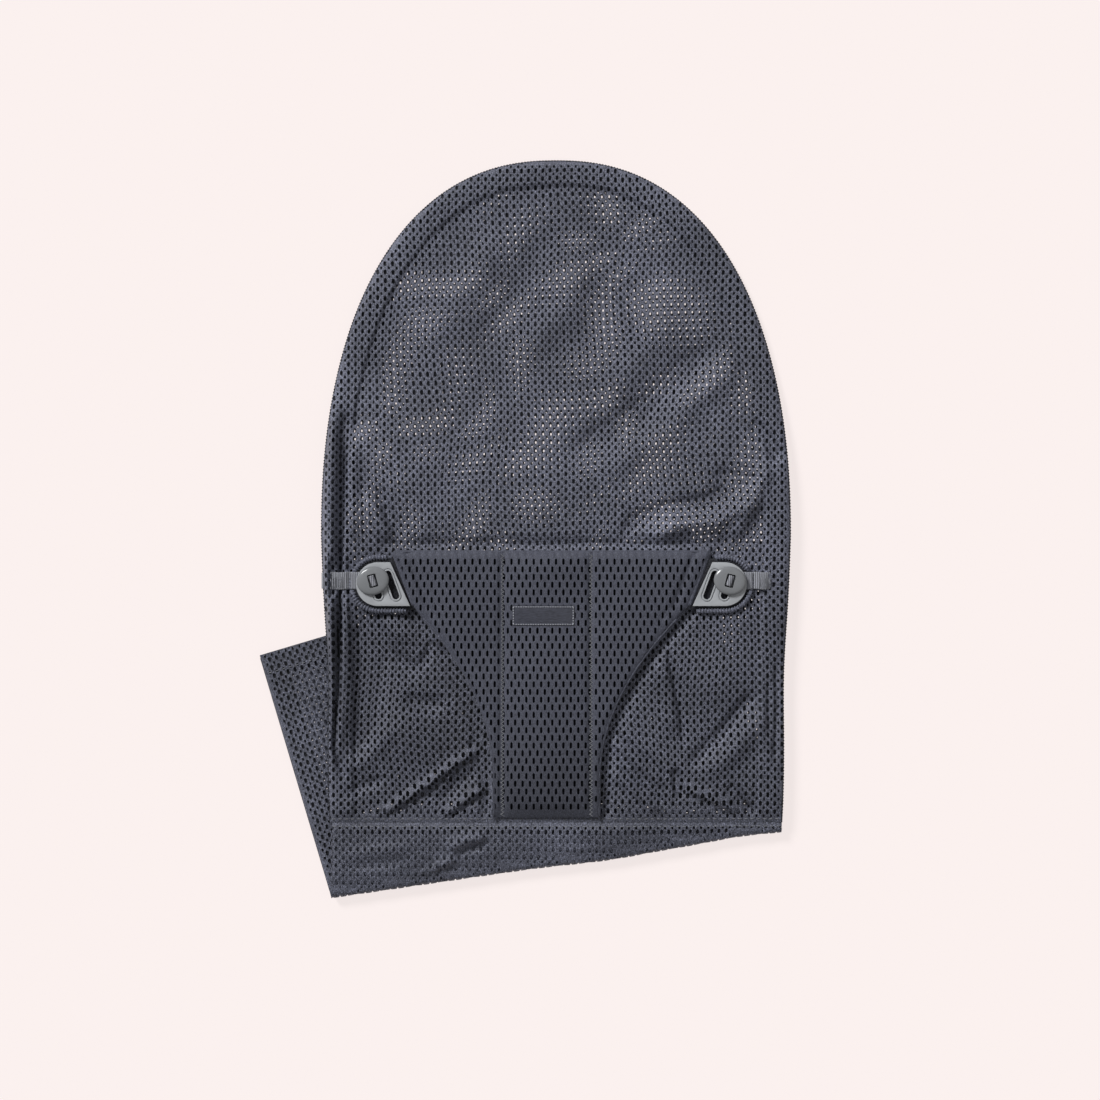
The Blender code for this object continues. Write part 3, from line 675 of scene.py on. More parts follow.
def harness_height(x, y):
    """The height of the restraint's upper face."""
    gap = -harness_level(x, y)
    tall = 3.4 * MM * rounded(gap, 5.0 * MM)
    tall *= 0.35 + 0.65 * smooth(-4 * MM, 16 * MM, y - HARNESS_FOOT)
    for side in (-1, 1):
        seam = hump(x - (STEM_X + side * SEAM_HALF), 3.0 * MM)
        tall -= 1.9 * MM * seam * smooth(0, 6 * MM, gap)
    across = np.abs(x - STEM_X)
    crown = 2.4 * MM * (1.0 - np.clip(across / SEAM_HALF, 0.0, 1.0) ** 2)
    wing_width = np.maximum(harness_edge(y) - SEAM_HALF, 1 * MM)
    share = np.clip((across - SEAM_HALF) / wing_width, 0.0, 1.0)
    crown += 2.2 * MM * np.sqrt(share * (1.0 - share)) * smooth(10 * MM, 60 * MM, wing_width)
    waves = ripple(x, y, 0.085, 31) * 1.3 * MM
    end_gap = (harness_edge(y) - np.abs(x - harness_middle(y))) * 0.93
    on_wing = smooth(WING_FOOT - 18 * MM, WING_FOOT - 2 * MM, y)
    tall -= 2.2 * MM * hump(end_gap - 13 * MM, 2.6 * MM) * on_wing
    tall += (crown + waves) * smooth(2 * MM, 14 * MM, gap)
    top_roll = 0.9 * MM * hump(HARNESS_TOP - 5 * MM - y, 4 * MM)
    return HARNESS_LOW + np.maximum(tall + top_roll * rounded(gap, 4 * MM), 0.0)


def harness_z(x, y, lift):
    """A height over the restraint at one place."""
    return float(harness_height(np.array(x), np.array(y))) + lift


# ---------------------------------------------------------------- making cloth


def lattice(low, high, pitch, turn=0.0):
    """A flat sheet of triangles whose corners will be the middles of the holes."""
    spare = abs(math.sin(turn)) * (high[1] - low[1])
    columns = int(math.ceil((high[0] - low[0] + spare) / (pitch[0] / 2))) + 1
    rows = int(math.ceil((high[1] - low[1] + spare) / pitch[1])) + 1
    mesh_tool = bmesh.new()
    bmesh.ops.create_grid(mesh_tool, x_segments=columns, y_segments=rows, size=0.5)
    wide = columns * pitch[0] / 2
    tall = rows * pitch[1]
    bmesh.ops.scale(mesh_tool, vec=(wide, tall, 1.0), verts=mesh_tool.verts)
    corner = ((low[0] + high[0] - wide) / 2, (low[1] + high[1] - tall) / 2)
    bmesh.ops.translate(
        mesh_tool, vec=(corner[0] + wide / 2, corner[1] + tall / 2, 0.0), verts=mesh_tool.verts
    )
    kind = mesh_tool.verts.layers.int.new("hole")
    for vert in mesh_tool.verts:
        column = round((vert.co.x - corner[0]) / (pitch[0] / 2))
        vert[kind] = 1 + column % 2
        if column % 2:
            vert.co.y += pitch[1] / 2
    bmesh.ops.triangulate(mesh_tool, faces=mesh_tool.faces[:], quad_method="SHORT_EDGE")
    bmesh.ops.rotate(
        mesh_tool,
        verts=mesh_tool.verts,
        cent=((low[0] + high[0]) / 2, (low[1] + high[1]) / 2, 0.0),
        matrix=Matrix.Rotation(turn, 3, "Z"),
    )
    return mesh_tool


def trim(mesh_tool, level, snap=1.2 * MM):
    """Cut a flat sheet along the line where level is 0 and keep the side below 0.

    Corners close to the line are first moved onto it, so that no slivers are left.
    """
    verts = list(mesh_tool.verts)
    mesh_tool.verts.index_update()
    x = np.array([vert.co.x for vert in verts])
    y = np.array([vert.co.y for vert in verts])
    for _ in range(3):
        values = level(x, y)
        small = 0.01 * MM
        slope_x = (level(x + small, y) - values) / small
        slope_y = (level(x, y + small) - values) / small
        share = values / np.maximum(slope_x**2 + slope_y**2, 0.2)
        near = np.hypot(share * slope_x, share * slope_y) < snap
        x = np.where(near, x - share * slope_x, x)
        y = np.where(near, y - share * slope_y, y)
    for vert, new_x, new_y in zip(verts, x, y):
        vert.co = (new_x, new_y, 0.0)
    values = level(x, y)
    values = np.where(np.abs(values) < 0.02 * MM, 0.0, values)
    kind = mesh_tool.verts.layers.int["hole"]
    crossing = [
        edge
        for edge in mesh_tool.edges
        if values[edge.verts[0].index] * values[edge.verts[1].index] < 0.0
    ]
    new_verts = []
    for edge in crossing:
        start, end = edge.verts
        first, second = values[start.index], values[end.index]
        _, made = bmesh.utils.edge_split(edge, start, first / (first - second))
        made[kind] = 0
        new_verts.append(made)
    on_line = [vert for vert, value in zip(verts, values) if value == 0.0]
    bmesh.ops.connect_verts(mesh_tool, verts=new_verts + on_line)
    middles = [face.calc_center_median() for face in mesh_tool.faces]
    inside = level(np.array([m.x for m in middles]), np.array([m.y for m in middles]))
    away = [face for face, value in zip(mesh_tool.faces, inside) if value > 0.0]
    bmesh.ops.delete(mesh_tool, geom=away, context="FACES")
    loose = [vert for vert in mesh_tool.verts if not vert.link_faces]
    bmesh.ops.delete(mesh_tool, geom=loose, context="VERTS")


def cut_straight(mesh_tool, place, outward):
    """Cut a flat sheet along a straight line and drop what lies outward of it."""
    bmesh.ops.bisect_plane(
        mesh_tool,
        geom=mesh_tool.verts[:] + mesh_tool.edges[:] + mesh_tool.faces[:],
        dist=1e-7,
        plane_co=(*place, 0.0),
        plane_no=(*outward, 0.0),
        clear_outer=True,
    )


def edge_is_clear(vert, edge, wide, tall):
    """Whether a hole about a corner stays short of the far end of one of its edges."""
    away = edge.other_vert(vert).co - vert.co
    share = away.normalized()
    reach = math.hypot(share.x * wide, share.y * tall) / 2
    return away.length > 1.15 * reach


def open_holes(mesh_tool, sizes):
    """Open a hole at each inner corner of the lattice; sizes, in mm, are by the corner's kind."""
    kind = mesh_tool.verts.layers.int["hole"]
    for number, size in sizes.items():
        wide, tall, flat = (part * MM for part in size)
        chosen = []
        for vert in mesh_tool.verts:
            if vert[kind] != number or vert.is_boundary or not vert.is_manifold:
                continue
            if all(edge_is_clear(vert, edge, wide, tall) for edge in vert.link_edges):
                chosen.append(vert)
        bmesh.ops.bevel(
            mesh_tool, geom=chosen, offset=wide * 0.3, offset_type="OFFSET", clamp_overlap=True,
            segments=1, profile=0.5, affect="VERTICES", material=-1,
        )
        caps = []
        for face in mesh_tool.faces:
            corners = face.verts
            if len(corners) == 6 and all(corner[kind] == number for corner in corners):
                caps.append(face)
        for face in caps:
            centre = face.calc_center_median()
            for corner in face.verts:
                away = corner.co - centre
                if abs(away.x) < 0.3 * abs(away.y):
                    place = (0.0, math.copysign(tall / 2, away.y))
                else:
                    place = (math.copysign(wide / 2, away.x), math.copysign(flat / 2, away.y))
                corner.co.x = centre.x + place[0]
                corner.co.y = centre.y + place[1]
        bmesh.ops.delete(mesh_tool, geom=caps, context="FACES")


def to_piece(name, mesh_tool, shape, material):
    """Shape a flat sheet's points and make it a smooth piece in the row frame."""
    mesh = bpy.data.meshes.new(name)
    mesh_tool.to_mesh(mesh)
    mesh_tool.free()
    points = np.empty(len(mesh.vertices) * 3, np.float32)
    mesh.vertices.foreach_get("co", points)
    points = points.reshape(-1, 3).astype(float)
    shaped = shape(points[:, 0], points[:, 1], points[:, 2])
    placed = np.stack(shaped, axis=1) + np.array([CREASE.x, CREASE.y, 0.0])
    mesh.vertices.foreach_set("co", placed.astype(np.float32).ravel())
    mesh.update()
    mesh.shade_smooth()
    mesh.materials.append(material)
    piece = bpy.data.objects.new(name, mesh)
    bpy.context.scene.collection.objects.link(piece)
    return piece


def as_drawn(x, y, z):
    """The shaping function of a piece that already has its shape."""
    return x, y, z


def raise_from(height):
    """A shaping function that stands each point, with its crown, on a height."""
    def shape(x, y, lift):
        return x, y, height(x, y) + lift
    return shape


def knit_sheet(low, high, pitch, level, holes, crown, cuts=(), turn=0.0, changed=None):
    """A flat sheet of holed cloth, trimmed to its outline; some of its holes may be changed."""
    mesh_tool = lattice(low, high, pitch, turn)
    if changed:
        kind = mesh_tool.verts.layers.int["hole"]
        places = np.array([vert.co[:2] for vert in mesh_tool.verts])
        for vert, other in zip(mesh_tool.verts, changed(*places.T)):
            vert[kind] += 2 * int(other)
    for place, outward in cuts:
        cut_straight(mesh_tool, place, outward)
    if level is not None:
        trim(mesh_tool, level)
    open_holes(mesh_tool, holes)
    # The middle of each face between the holes is raised.
    bmesh.ops.poke(mesh_tool, faces=mesh_tool.faces[:], offset=crown, center_mode="MEAN")
    return mesh_tool


def pulled(x, y, seed, reach):
    """The small sideways drift of a knit that has been pulled about."""
    return x + ripple(x, y, 0.12, seed) * reach, y + ripple(x, y, 0.12, seed + 1) * reach


class Route:
    """A line through places, walked by a share from 0 to 1."""

    def __init__(self, places):
        self.places = np.array(places, float)
        gaps = np.hypot(*np.diff(self.places[:, :2], axis=0).T)
        self.reach = np.concatenate([[0.0], np.cumsum(gaps)])
        self.length = self.reach[-1]

    def at(self, share):
        """The place at each share."""
        walked = np.clip(share, 0.0, 1.0) * self.length
        return [np.interp(walked, self.reach, axis) for axis in self.places.T]

    def right(self, share):
        """The direction across the route, to its right."""
        before = self.at(np.asarray(share) - 0.004)
        after = self.at(np.asarray(share) + 0.004)
        run, rise = after[0] - before[0], after[1] - before[1]
        size = np.hypot(run, rise)
        return rise / size, -run / size


def grid_piece(name, across, along, shape, material, weld=False):
    """A grid shaped by a function of two shares from 0 to 1."""
    mesh_tool = bmesh.new()
    bmesh.ops.create_grid(mesh_tool, x_segments=across, y_segments=along, size=0.5)
    bmesh.ops.translate(mesh_tool, vec=(0.5, 0.5, 0.0), verts=mesh_tool.verts)
    piece = to_piece(name, mesh_tool, lambda u, v, lift: shape(u, v), material)
    if weld:
        welded = bmesh.new()
        welded.from_mesh(piece.data)
        bmesh.ops.remove_doubles(welded, verts=welded.verts, dist=0.01 * MM)
        bmesh.ops.recalc_face_normals(welded, faces=welded.faces)
        welded.to_mesh(piece.data)
        welded.free()
    return piece


def band(name, route, width, place, material, step=3 * MM, across=4):
    """A flat band along a route; place says where each point of the flat band goes."""
    line = Route(route)

    def shape(u, v):
        x, y = line.at(u)[:2]
        right = line.right(u)
        out = (v - 0.5) * width
        return place(x + right[0] * out, y + right[1] * out)

    return grid_piece(name, max(int(line.length / step), 2), across, shape, material)


def roll(name, route, wide, tall, height, material, step=2 * MM, sides=12, ends=0.02, bumps=0.0):
    """A round roll of cloth or a cord along a route, closed at its ends."""
    line = Route(route)

    def shape(u, v):
        turn = 2 * math.pi * v
        taper = rounded(np.minimum(u, 1.0 - u), ends)
        x, y = line.at(u)[:2]
        right = line.right(u)
        loops = 1.0 + bumps * np.sin(2 * math.pi * u * line.length / (2.6 * MM))
        out = wide / 2 * np.cos(turn) * taper * loops
        rise = tall / 2 * np.sin(turn) * taper * loops
        return x + right[0] * out, y + right[1] * out, height(x, y) + rise

    count = max(int(line.length / step), 4)
    return grid_piece(name, count, sides, shape, material, weld=True)


def stitch_row(name, places, length, thick, material):
    """Thread stitches; each place is x, y, height and the way it runs."""
    mesh_tool = bmesh.new()
    for x, y, z, turn in places:
        matrix = Matrix.Translation((x, y, z)) @ Matrix.Rotation(turn, 4, "Z")
        matrix = matrix @ Matrix.Diagonal((length, thick, thick * 0.8, 1.0))
        bmesh.ops.create_uvsphere(mesh_tool, u_segments=8, v_segments=5, radius=0.5, matrix=matrix)
    return to_piece(name, mesh_tool, as_drawn, material)


def solid(outline, low, high):
    """A closed prism on an outline in the plan, as a mesh being made."""
    mesh_tool = bmesh.new()
    ring = {"cap_ends": True, "segments": len(outline), "radius": 0.01}
    made = bmesh.ops.create_circle(mesh_tool, **ring)["verts"]
    for vert, (x, y) in zip(made, outline):
        vert.co = (x, y, low)
    grown = bmesh.ops.extrude_face_region(mesh_tool, geom=mesh_tool.faces[:])
    tops = [item for item in grown["geom"] if isinstance(item, bmesh.types.BMVert)]
    bmesh.ops.translate(mesh_tool, vec=(0.0, 0.0, high - low), verts=tops)
    bmesh.ops.recalc_face_normals(mesh_tool, faces=mesh_tool.faces)
    return mesh_tool


def plain_object(name, mesh_tool):
    """An object from a mesh being made, as it stands."""
    made = bpy.data.objects.new(name, bpy.data.meshes.new(name))
    mesh_tool.to_mesh(made.data)
    mesh_tool.free()
    bpy.context.scene.collection.objects.link(made)
    return made


def settle(piece):
    """Make a piece's modifiers part of its mesh."""
    graph = bpy.context.evaluated_depsgraph_get()
    mesh = bpy.data.meshes.new_from_object(piece.evaluated_get(graph))
    piece.modifiers.clear()
    piece.data = mesh


def modify(piece, kind, **settings):
    """Change a piece's mesh by one modifier."""
    modifier = piece.modifiers.new("change", kind)
    for name, value in settings.items():
        setattr(modifier, name, value)
    settle(piece)


def cut_out(piece, tool, operation="DIFFERENCE"):
    """Cut a tool's shape out of a piece, or join it on."""
    modify(piece, "BOOLEAN", operation=operation, solver="EXACT", object=tool)
    bpy.data.objects.remove(tool)


def soften(piece, width, segments=3, angle=35.0):
    """Round a hard piece's sharp edges."""
    sharp = {"limit_method": "ANGLE", "angle_limit": math.radians(angle)}
    modify(piece, "BEVEL", width=width, segments=segments, harden_normals=False, **sharp)
    piece.data.shade_smooth()
    piece.data.set_sharp_from_angle(angle=math.radians(50))


def hand_over(piece, body, slot, *nodes):
    """Attach a piece to the body it moves with and hide the CAD nodes it stands for; slot, its
    finish, is not used.
    """
    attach(piece, body)
    if nodes:
        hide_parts(*nodes)
    return piece


# ---------------------------------------------------------------- seat


def seat_shape(height, seed, reach, foot):
    """The shaping function of a seat layer: drawn about a little, then stood on its height."""

    def shape(x, y, lift):
        gap = edge_gap(x, y)
        free = smooth(0.0, 25 * MM, gap) * smooth(0.0, 25 * MM, y - foot)
        moved_x, moved_y = pulled(x, y, seed, reach)
        x = x + (moved_x - x) * free
        y = y + (moved_y - y) * free
        return x, y, height(x, y, edge_gap(x, y)) + lift

    return shape


def make_seat_front():
    """The seat's upper layer."""

    def stretched(x, y):
        ways = [route_distance(x, y, in_metres(way))[0] for way in (RIDGE, LOW_RIDGE, PATCH)]
        return np.minimum.reduce(ways) < 7 * MM

    cloth = knit_sheet(
        (-HALF_WIDTH, SEAM_Y), (HALF_WIDTH, HEAD_Y), KNIT_PITCH, arch_level, FRONT_HOLES,
        KNIT_CROWN, cuts=[((0.0, SEAM_Y), (0.0, -1.0))], changed=stretched,
    )
    shape = seat_shape(front_height, 41, 3.4 * MM, SEAM_Y)
    piece = to_piece("seat_front_cloth", cloth, shape, CLOTH)
    hand_over(piece, "seat", "mesh_fabric", "front_panel")


def make_seat_back():
    """The seat's lower layer, whose lower edge is the mouth of the pocket."""
    mouth = BACK_LOW.y
    pitch = (KNIT_PITCH[0] * 1.045, KNIT_PITCH[1] * 0.96)
    cloth = knit_sheet(
        (-HALF_WIDTH, mouth), (HALF_WIDTH, HEAD_Y), pitch, arch_level, BACK_HOLES, -KNIT_CROWN,
        cuts=[((0.0, mouth), (0.0, -1.0))], turn=math.radians(3.6),
        changed=lambda x, y: y < COVERED_Y,
    )
    shape = seat_shape(back_height, 51, 3.0 * MM, mouth)
    piece = to_piece("seat_back_cloth", cloth, shape, SHADED_UNDER_CLOTH)
    hand_over(piece, "seat", "mesh_fabric", "back_panel")


def make_rim():
    """The turned-in seam allowance inside the pocket, and the rolled seam on the outline."""
    route = arch_line(120, 12 * MM, SEAM_Y + 1 * MM)

    def under(x, y):
        gap = edge_gap(x, y)
        return x, y, front_height(x, y, gap) - 1.9 * MM * rounded(gap, 5 * MM)

    piece = band("rim_allowance", route, 22 * MM, under, SHADED_LINER, across=6)
    hand_over(piece, "seat", "mesh_fabric", "rim_band")

    def mid(x, y):
        return pocket_middle(y) + 0.7 * MM

    edge = arch_line(120, 0.7 * MM, SEAM_Y)
    sizes = (2.0 * MM, 2.6 * MM)
    # The rolled seam takes the lower layer's painted shade.
    seam = roll("rim_seam_roll", edge, *sizes, mid, SHADED_UNDER_CLOTH, 0.65 * MM, 8, bumps=0.3)
    hand_over(seam, "seat", "mesh_fabric")


# ---------------------------------------------------------------- strip and leg panel


def unfold(x, y):
    """A place's distance along the crease and out from it."""
    cos, sin = math.cos(CREASE_TILT), math.sin(CREASE_TILT)
    return x * cos + y * sin, y * cos - x * sin


def strip_folds(x, y):
    """The folds of the strip between the cross seam and the crease."""
    return add_folds(ripple(x, y, 0.075, 61) * 0.8 * MM, x, y, STRIP_FOLDS)


OUTER_NOSE = 3.4 * MM
INNER_NOSE = 1.7 * MM
CREASE_SLACK = 1.2 * MM


def taken_up(outer):
    """How much of a layer's length its turn round the crease takes up on each side."""
    return (OUTER_NOSE if outer else INNER_NOSE) * math.pi / 2 - CREASE_SLACK


def folded(outer):
    """The shaping function that wraps a flat layer round the crease; outer or inner layer."""
    nose = OUTER_NOSE if outer else INNER_NOSE
    middle_reach = (SEAT_UNDER + SEAT_TOP) / 2 - CREASE.z
    half = (POCKET_HALF - 0.6 * MM) * (1 if outer else -1)
    quarter = nose * math.pi / 2
    cos, sin = math.cos(CREASE_TILT), math.sin(CREASE_TILT)

    def shape(x, y, lift):
        along, out = unfold(x, y)
        side_gap = FOOT_HALF_WIDTH - np.abs(x)
        beyond = np.clip(np.abs(out) - quarter, 0.0, None)
        flat_reach = middle_reach + half * rounded(side_gap, 6 * MM)
        seam = smooth(0.0, 6 * MM, SEAM_Y + taken_up(True) - y) if outer else 1.0
        on_strip = strip_folds(x, y) * smooth(3 * MM, 12 * MM, beyond) * (out > 0)
        on_leg = ripple(x, y, 0.09, 71) * 0.4 * MM * smooth(5 * MM, 25 * MM, beyond) * (out < 0)
        waves = (on_strip + on_leg) * smooth(0.0, 12 * MM, side_gap)
        if not outer:
            waves = waves * 0.3
        reach = nose + (flat_reach - nose) * smooth(0.0, 22 * MM, beyond)
        reach = reach + np.where(out > 0, waves * seam, waves * 0.5)
        reach = reach - (1.0 - seam) * 1.8 * MM
        curved = np.abs(out) < quarter
        step = np.where(curved, -nose * np.cos(out / nose), beyond)
        rise = np.where(curved, nose * np.sin(out / nose), np.where(out > 0, reach, -reach))
        # The crease's line wanders a little, but not where the seam holds it.
        wavy = hump(along - 0.160, 0.030) - 1.3 * hump(along - 0.045, 0.045)
        wavy = wavy * 1.6 * MM * hump(out, 0.03)
        wavy = wavy * smooth(0.0, 12 * MM, SEAM_Y + taken_up(outer) - y)
        step = step + wavy + CREASE_SLACK
        crown = np.where(out > 0, lift, -lift) * (1 if outer else -1) * smooth(0.0, 4 * MM, beyond)
        return along * cos - step * sin, along * sin + step * cos, CREASE.z + rise + crown

    return shape


def tightness(out, outer):
    """1 where a folded layer's holes are small, 2 round the crease where they are closed."""
    small = ((out < 3 * MM) == outer) | (np.abs(out) < 6 * MM)
    return np.where(np.abs(out) < 5.5 * MM, 2, np.where(small, 1, 0))


def make_leg_cloths():
    """The strip and the leg panel, in two layers that run on through the crease."""
    layers = (
        ("leg_front_cloth", True, ("strip_front", "leg_front"), "floor"),
        ("leg_back_cloth", False, ("strip_back", "leg_back"), "leg_front_cloth"),
    )
    for name, outer, nodes, under in layers:
        top = SEAM_Y + taken_up(outer) + 1.0 * MM
        shift = 0.0 if outer else 0.5
        sides = [((0.0, top), (0.0, 1.0)), ((0.0, -LEG_LENGTH), (0.0, -1.0))]
        sides += [((side * FOOT_HALF_WIDTH, 0.0), (side, 0.0)) for side in (1.0, -1.0)]
        cloth = knit_sheet(
            (-FOOT_HALF_WIDTH - shift * KNIT_PITCH[0], -LEG_LENGTH - shift * KNIT_PITCH[1]),
            (FOOT_HALF_WIDTH, top), KNIT_PITCH, None, FOLDED_HOLES,
            KNIT_CROWN if outer else -KNIT_CROWN, cuts=sides,
            changed=lambda x, y, outer=outer: tightness(unfold(x, y)[1], outer),
        )
        piece = to_piece(name, cloth, folded(outer), CLOTH)
        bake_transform(piece)
        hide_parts(*nodes)
        flat = (2 * FOOT_HALF_WIDTH, LEG_LENGTH + top)


def sewn_on(outer, nudge):
    """Where a point of a band sewn to one layer of the leg panel goes, nudge above the layer."""
    wrap = folded(outer)

    def place(x, y):
        x, y, z = wrap(x, y, 0.0)
        return x, y, z + nudge

    return place


def leg_band(name, route, width, outer, node, nudge, under):
    """A band of lining sewn to one layer of the leg panel."""
    piece = band(name, route, width, sewn_on(outer, nudge), SHADED_LINER, 4 * MM, 5)
    hand_over(piece, "leg_panel", "mesh_fabric", node)


def make_leg_edges():
    """The leg panel's two hems, the seams along its sides and its stitching."""
    hem_y = -LEG_LENGTH + 9 * MM
    wide = FOOT_HALF_WIDTH - 2 * MM
    ends = [(-wide, hem_y), (wide, hem_y)]
    hem = ("leg_front_hem", ends, 16 * MM, True, "leg_hem_front")
    leg_band(*hem, 1.0 * MM, "leg_front_cloth")
    hem = ("leg_back_hem", ends, 16 * MM, False, "leg_hem_back")
    leg_band(*hem, -0.9 * MM, "leg_front_hem")
    for side, name in ((-1, "left"), (1, "right")):
        x = side * (FOOT_HALF_WIDTH - 11 * MM)
        start = x * math.tan(CREASE_TILT) - 8 * MM
        route = [(x, start), (x, -LEG_LENGTH + 19 * MM)]
        seam = (f"leg_{name}_allowance", route, 19 * MM, False, f"leg_seam_{name}")
        leg_band(*seam, -1.2 * MM, "leg_front_cloth")
    sewn = sewn_on(False, 0.5 * MM)
    places = []
    for step in range(int(2 * wide / (6 * MM))):
        x = -wide + (step + 0.5) * 6 * MM
        spot = sewn(np.array([x]), np.array([-LEG_LENGTH + 17 * MM]))
        places.append((*(float(part[0]) for part in spot), 2 * CREASE_TILT))
    row = stitch_row("leg_hem_stitches", places, 3.6 * MM, 0.8 * MM, THREAD)
    hand_over(row, "leg_panel", "mesh_fabric")


def make_cross_seam():
    """The tape and the two rows of stitches where the strip joins the seat."""

    def taped(x, y):
        return x, y, SEAT_TOP - 4.2 * MM + 0.0 * x

    ends = [(-FOOT_HALF_WIDTH + 22 * MM, SEAM_Y), (FOOT_HALF_WIDTH - 22 * MM, SEAM_Y)]
    tape = band("seam_tape", ends, 16 * MM, taped, SHADED_LINER)
    hand_over(tape, "seat", "mesh_fabric", "cross_seam_tape")
    sewn = sewn_on(True, 0.4 * MM)
    xs = -FOOT_HALF_WIDTH + 3 * MM + np.arange(int(2 * FOOT_HALF_WIDTH / (5.4 * MM))) * 5.4 * MM
    upper = np.full(xs.shape, SEAM_Y + 3.2 * MM)
    lower = np.full(xs.shape, SEAM_Y - 3.4 * MM + taken_up(True))
    rows = [(xs, upper, front_height(xs, upper, edge_gap(xs, upper)) + 0.4 * MM), sewn(xs, lower)]
    places = [(*(float(part) for part in spot), 0.0) for row in rows for spot in zip(*row)]
    row = stitch_row("cross_seam_stitches", places, 3.8 * MM, 0.9 * MM, THREAD)
    hand_over(row, "seat", "mesh_fabric")


# ---------------------------------------------------------------- restraint


def wing_outline(side, inset=0.0):
    """One half of the restraint's outline, from its foot to the top of its wing."""
    points = [(STEM_X + side * (STEM_HALF - inset), HARNESS_FOOT + 0.5 * MM)]
    for step in range(25):
        y = STEM_TOP + (HARNESS_TOP - STEM_TOP) * step / 24
        reach = float(harness_edge(np.array(y))) - inset
        points.append((float(harness_middle(np.array(y))) + side * reach, y - inset * step / 24))
    return points


def make_core():
    """The restraint's padding, dark inside its slotted mesh."""

    def shape(u, v):
        y = HARNESS_FOOT + 1.5 * MM + (HARNESS_TOP - HARNESS_FOOT - 3 * MM) * v
        x = harness_middle(y) + (harness_edge(y) - 2 * MM) * (2 * u - 1)
        return x, y, harness_height(x, y) - 1.5 * MM

    piece = grid_piece("harness_padding", 90, 80, shape, CORE)
    modify(piece, "SOLIDIFY", thickness=1.4 * MM, offset=-1.0)
    hand_over(piece, "harness", "spacer_fabric", "harness_lining")


def make_panels():
    """The restraint's three panels of slotted mesh, rolled at their edges."""
    left_seam, right_seam = STEM_X - SEAM_HALF, STEM_X + SEAM_HALF
    panels = (
        ("left", -0.16, left_seam, 0.0096),
        ("centre", left_seam, right_seam, 0.0177),
        ("right", right_seam, 0.16, 0.0096),
    )
    for name, low, high, area in panels:
        cloth = knit_sheet(
            (max(low, HARNESS_X - 0.145), HARNESS_FOOT), (min(high, HARNESS_X + 0.145), HARNESS_TOP),
            SPACER_PITCH, lambda x, y: harness_level(x, y) + 0.3 * MM, SLOT_HOLES, 0.25 * MM,
            cuts=[((low, 0.0), (-1.0, 0.0)), ((high, 0.0), (1.0, 0.0))],
        )
        piece = to_piece(f"harness_{name}_skin", cloth, raise_from(harness_height), SPACER)
        hand_over(piece, "harness", "spacer_fabric", f"harness_{name}")
        flat = (min(high, 0.135) - max(low, -0.143), HARNESS_TOP - HARNESS_FOOT)


def make_harness_edges():
    """The restraint's rolled edges, its bound wing ends and its flat seams."""

    def low_edge(x, y):
        return HARNESS_LOW + 1.1 * MM + 0.0 * x

    left = wing_outline(-1, 1.5 * MM)
    right = wing_outline(1, 1.5 * MM)
    for name, route in (("left", left[:-7]), ("right", right[:-7])):
        edge = roll(f"harness_{name}_edge", route, 2.4 * MM, 2.0 * MM, low_edge, SPACER)
        hand_over(edge, "harness", "spacer_fabric")
    top = [left[-1], (HARNESS_X, HARNESS_TOP - 1.6 * MM), right[-1]]
    edge = roll("harness_top_edge", top, 2.6 * MM, 2.2 * MM, low_edge, SPACER)
    hand_over(edge, "harness", "spacer_fabric")
    for name, side in (("left", -1), ("right", 1)):
        route = [
            (HARNESS_X + side * (WING_FOOT_X - 2.2 * MM), WING_FOOT - 1 * MM),
            (HARNESS_X + side * (WING_TIP_X - 2.2 * MM), HARNESS_TOP - 1 * MM),
        ]
        wing = roll(f"wing_{name}_roll", route, 4.4 * MM, 3.2 * MM, low_edge, SPACER, ends=0.05)
        hand_over(wing, "harness", "spacer_fabric", f"wing_binding_{name}")
        places = []
        x = STEM_X + side * SEAM_HALF
        for step in range(int((HARNESS_TOP - HARNESS_FOOT - 4 * MM) / (1.7 * MM))):
            y = HARNESS_FOOT + 2.5 * MM + step * 1.7 * MM
            lean = math.radians(38 if step % 2 else -38)
            places.append((x, y, harness_z(x, y, 0.5 * MM), lean))
        seam = stitch_row(f"harness_{name}_flat_seam", places, 5.0 * MM, 0.7 * MM, THREAD)
        hand_over(seam, "harness", "spacer_fabric", f"harness_seam_{name}")


def make_label():
    """The blank satin label with its stitched border."""
    low, high = plan_box("label_patch")

    def shape(u, v):
        x = low.x + (high.x - low.x) * u
        y = low.y + (high.y - low.y) * v
        rim = np.minimum(np.minimum(u * 3.1, (1 - u) * 3.1), np.minimum(v, 1 - v))
        puffed = 0.5 * MM * smooth(0.0, 0.3, rim)
        return x, y, harness_height(x, y) + 0.35 * MM + puffed

    label = grid_piece("label", 40, 14, shape, SATIN)
    hand_over(label, "harness", "label_satin", "label_patch")
    size = (high.x - low.x, high.y - low.y)
    places = []
    for y in (low.y + 1.2 * MM, high.y - 1.2 * MM):
        for step in range(25):
            x = low.x + 1.6 * MM + (size[0] - 3.2 * MM) * step / 24
            places.append((x, y, harness_z(x, y, 0.9 * MM), 0.0))
    for x in (low.x + 1.2 * MM, high.x - 1.2 * MM):
        for step in range(7):
            y = low.y + 2.0 * MM + (size[1] - 4.0 * MM) * step / 6
            places.append((x, y, harness_z(x, y, 0.9 * MM), math.pi / 2))
    border = stitch_row("label_stitches", places, 1.7 * MM, 0.85 * MM, LABEL_THREAD)
    hand_over(border, "harness", "label_satin")


# ---------------------------------------------------------------- plates, buttons and straps


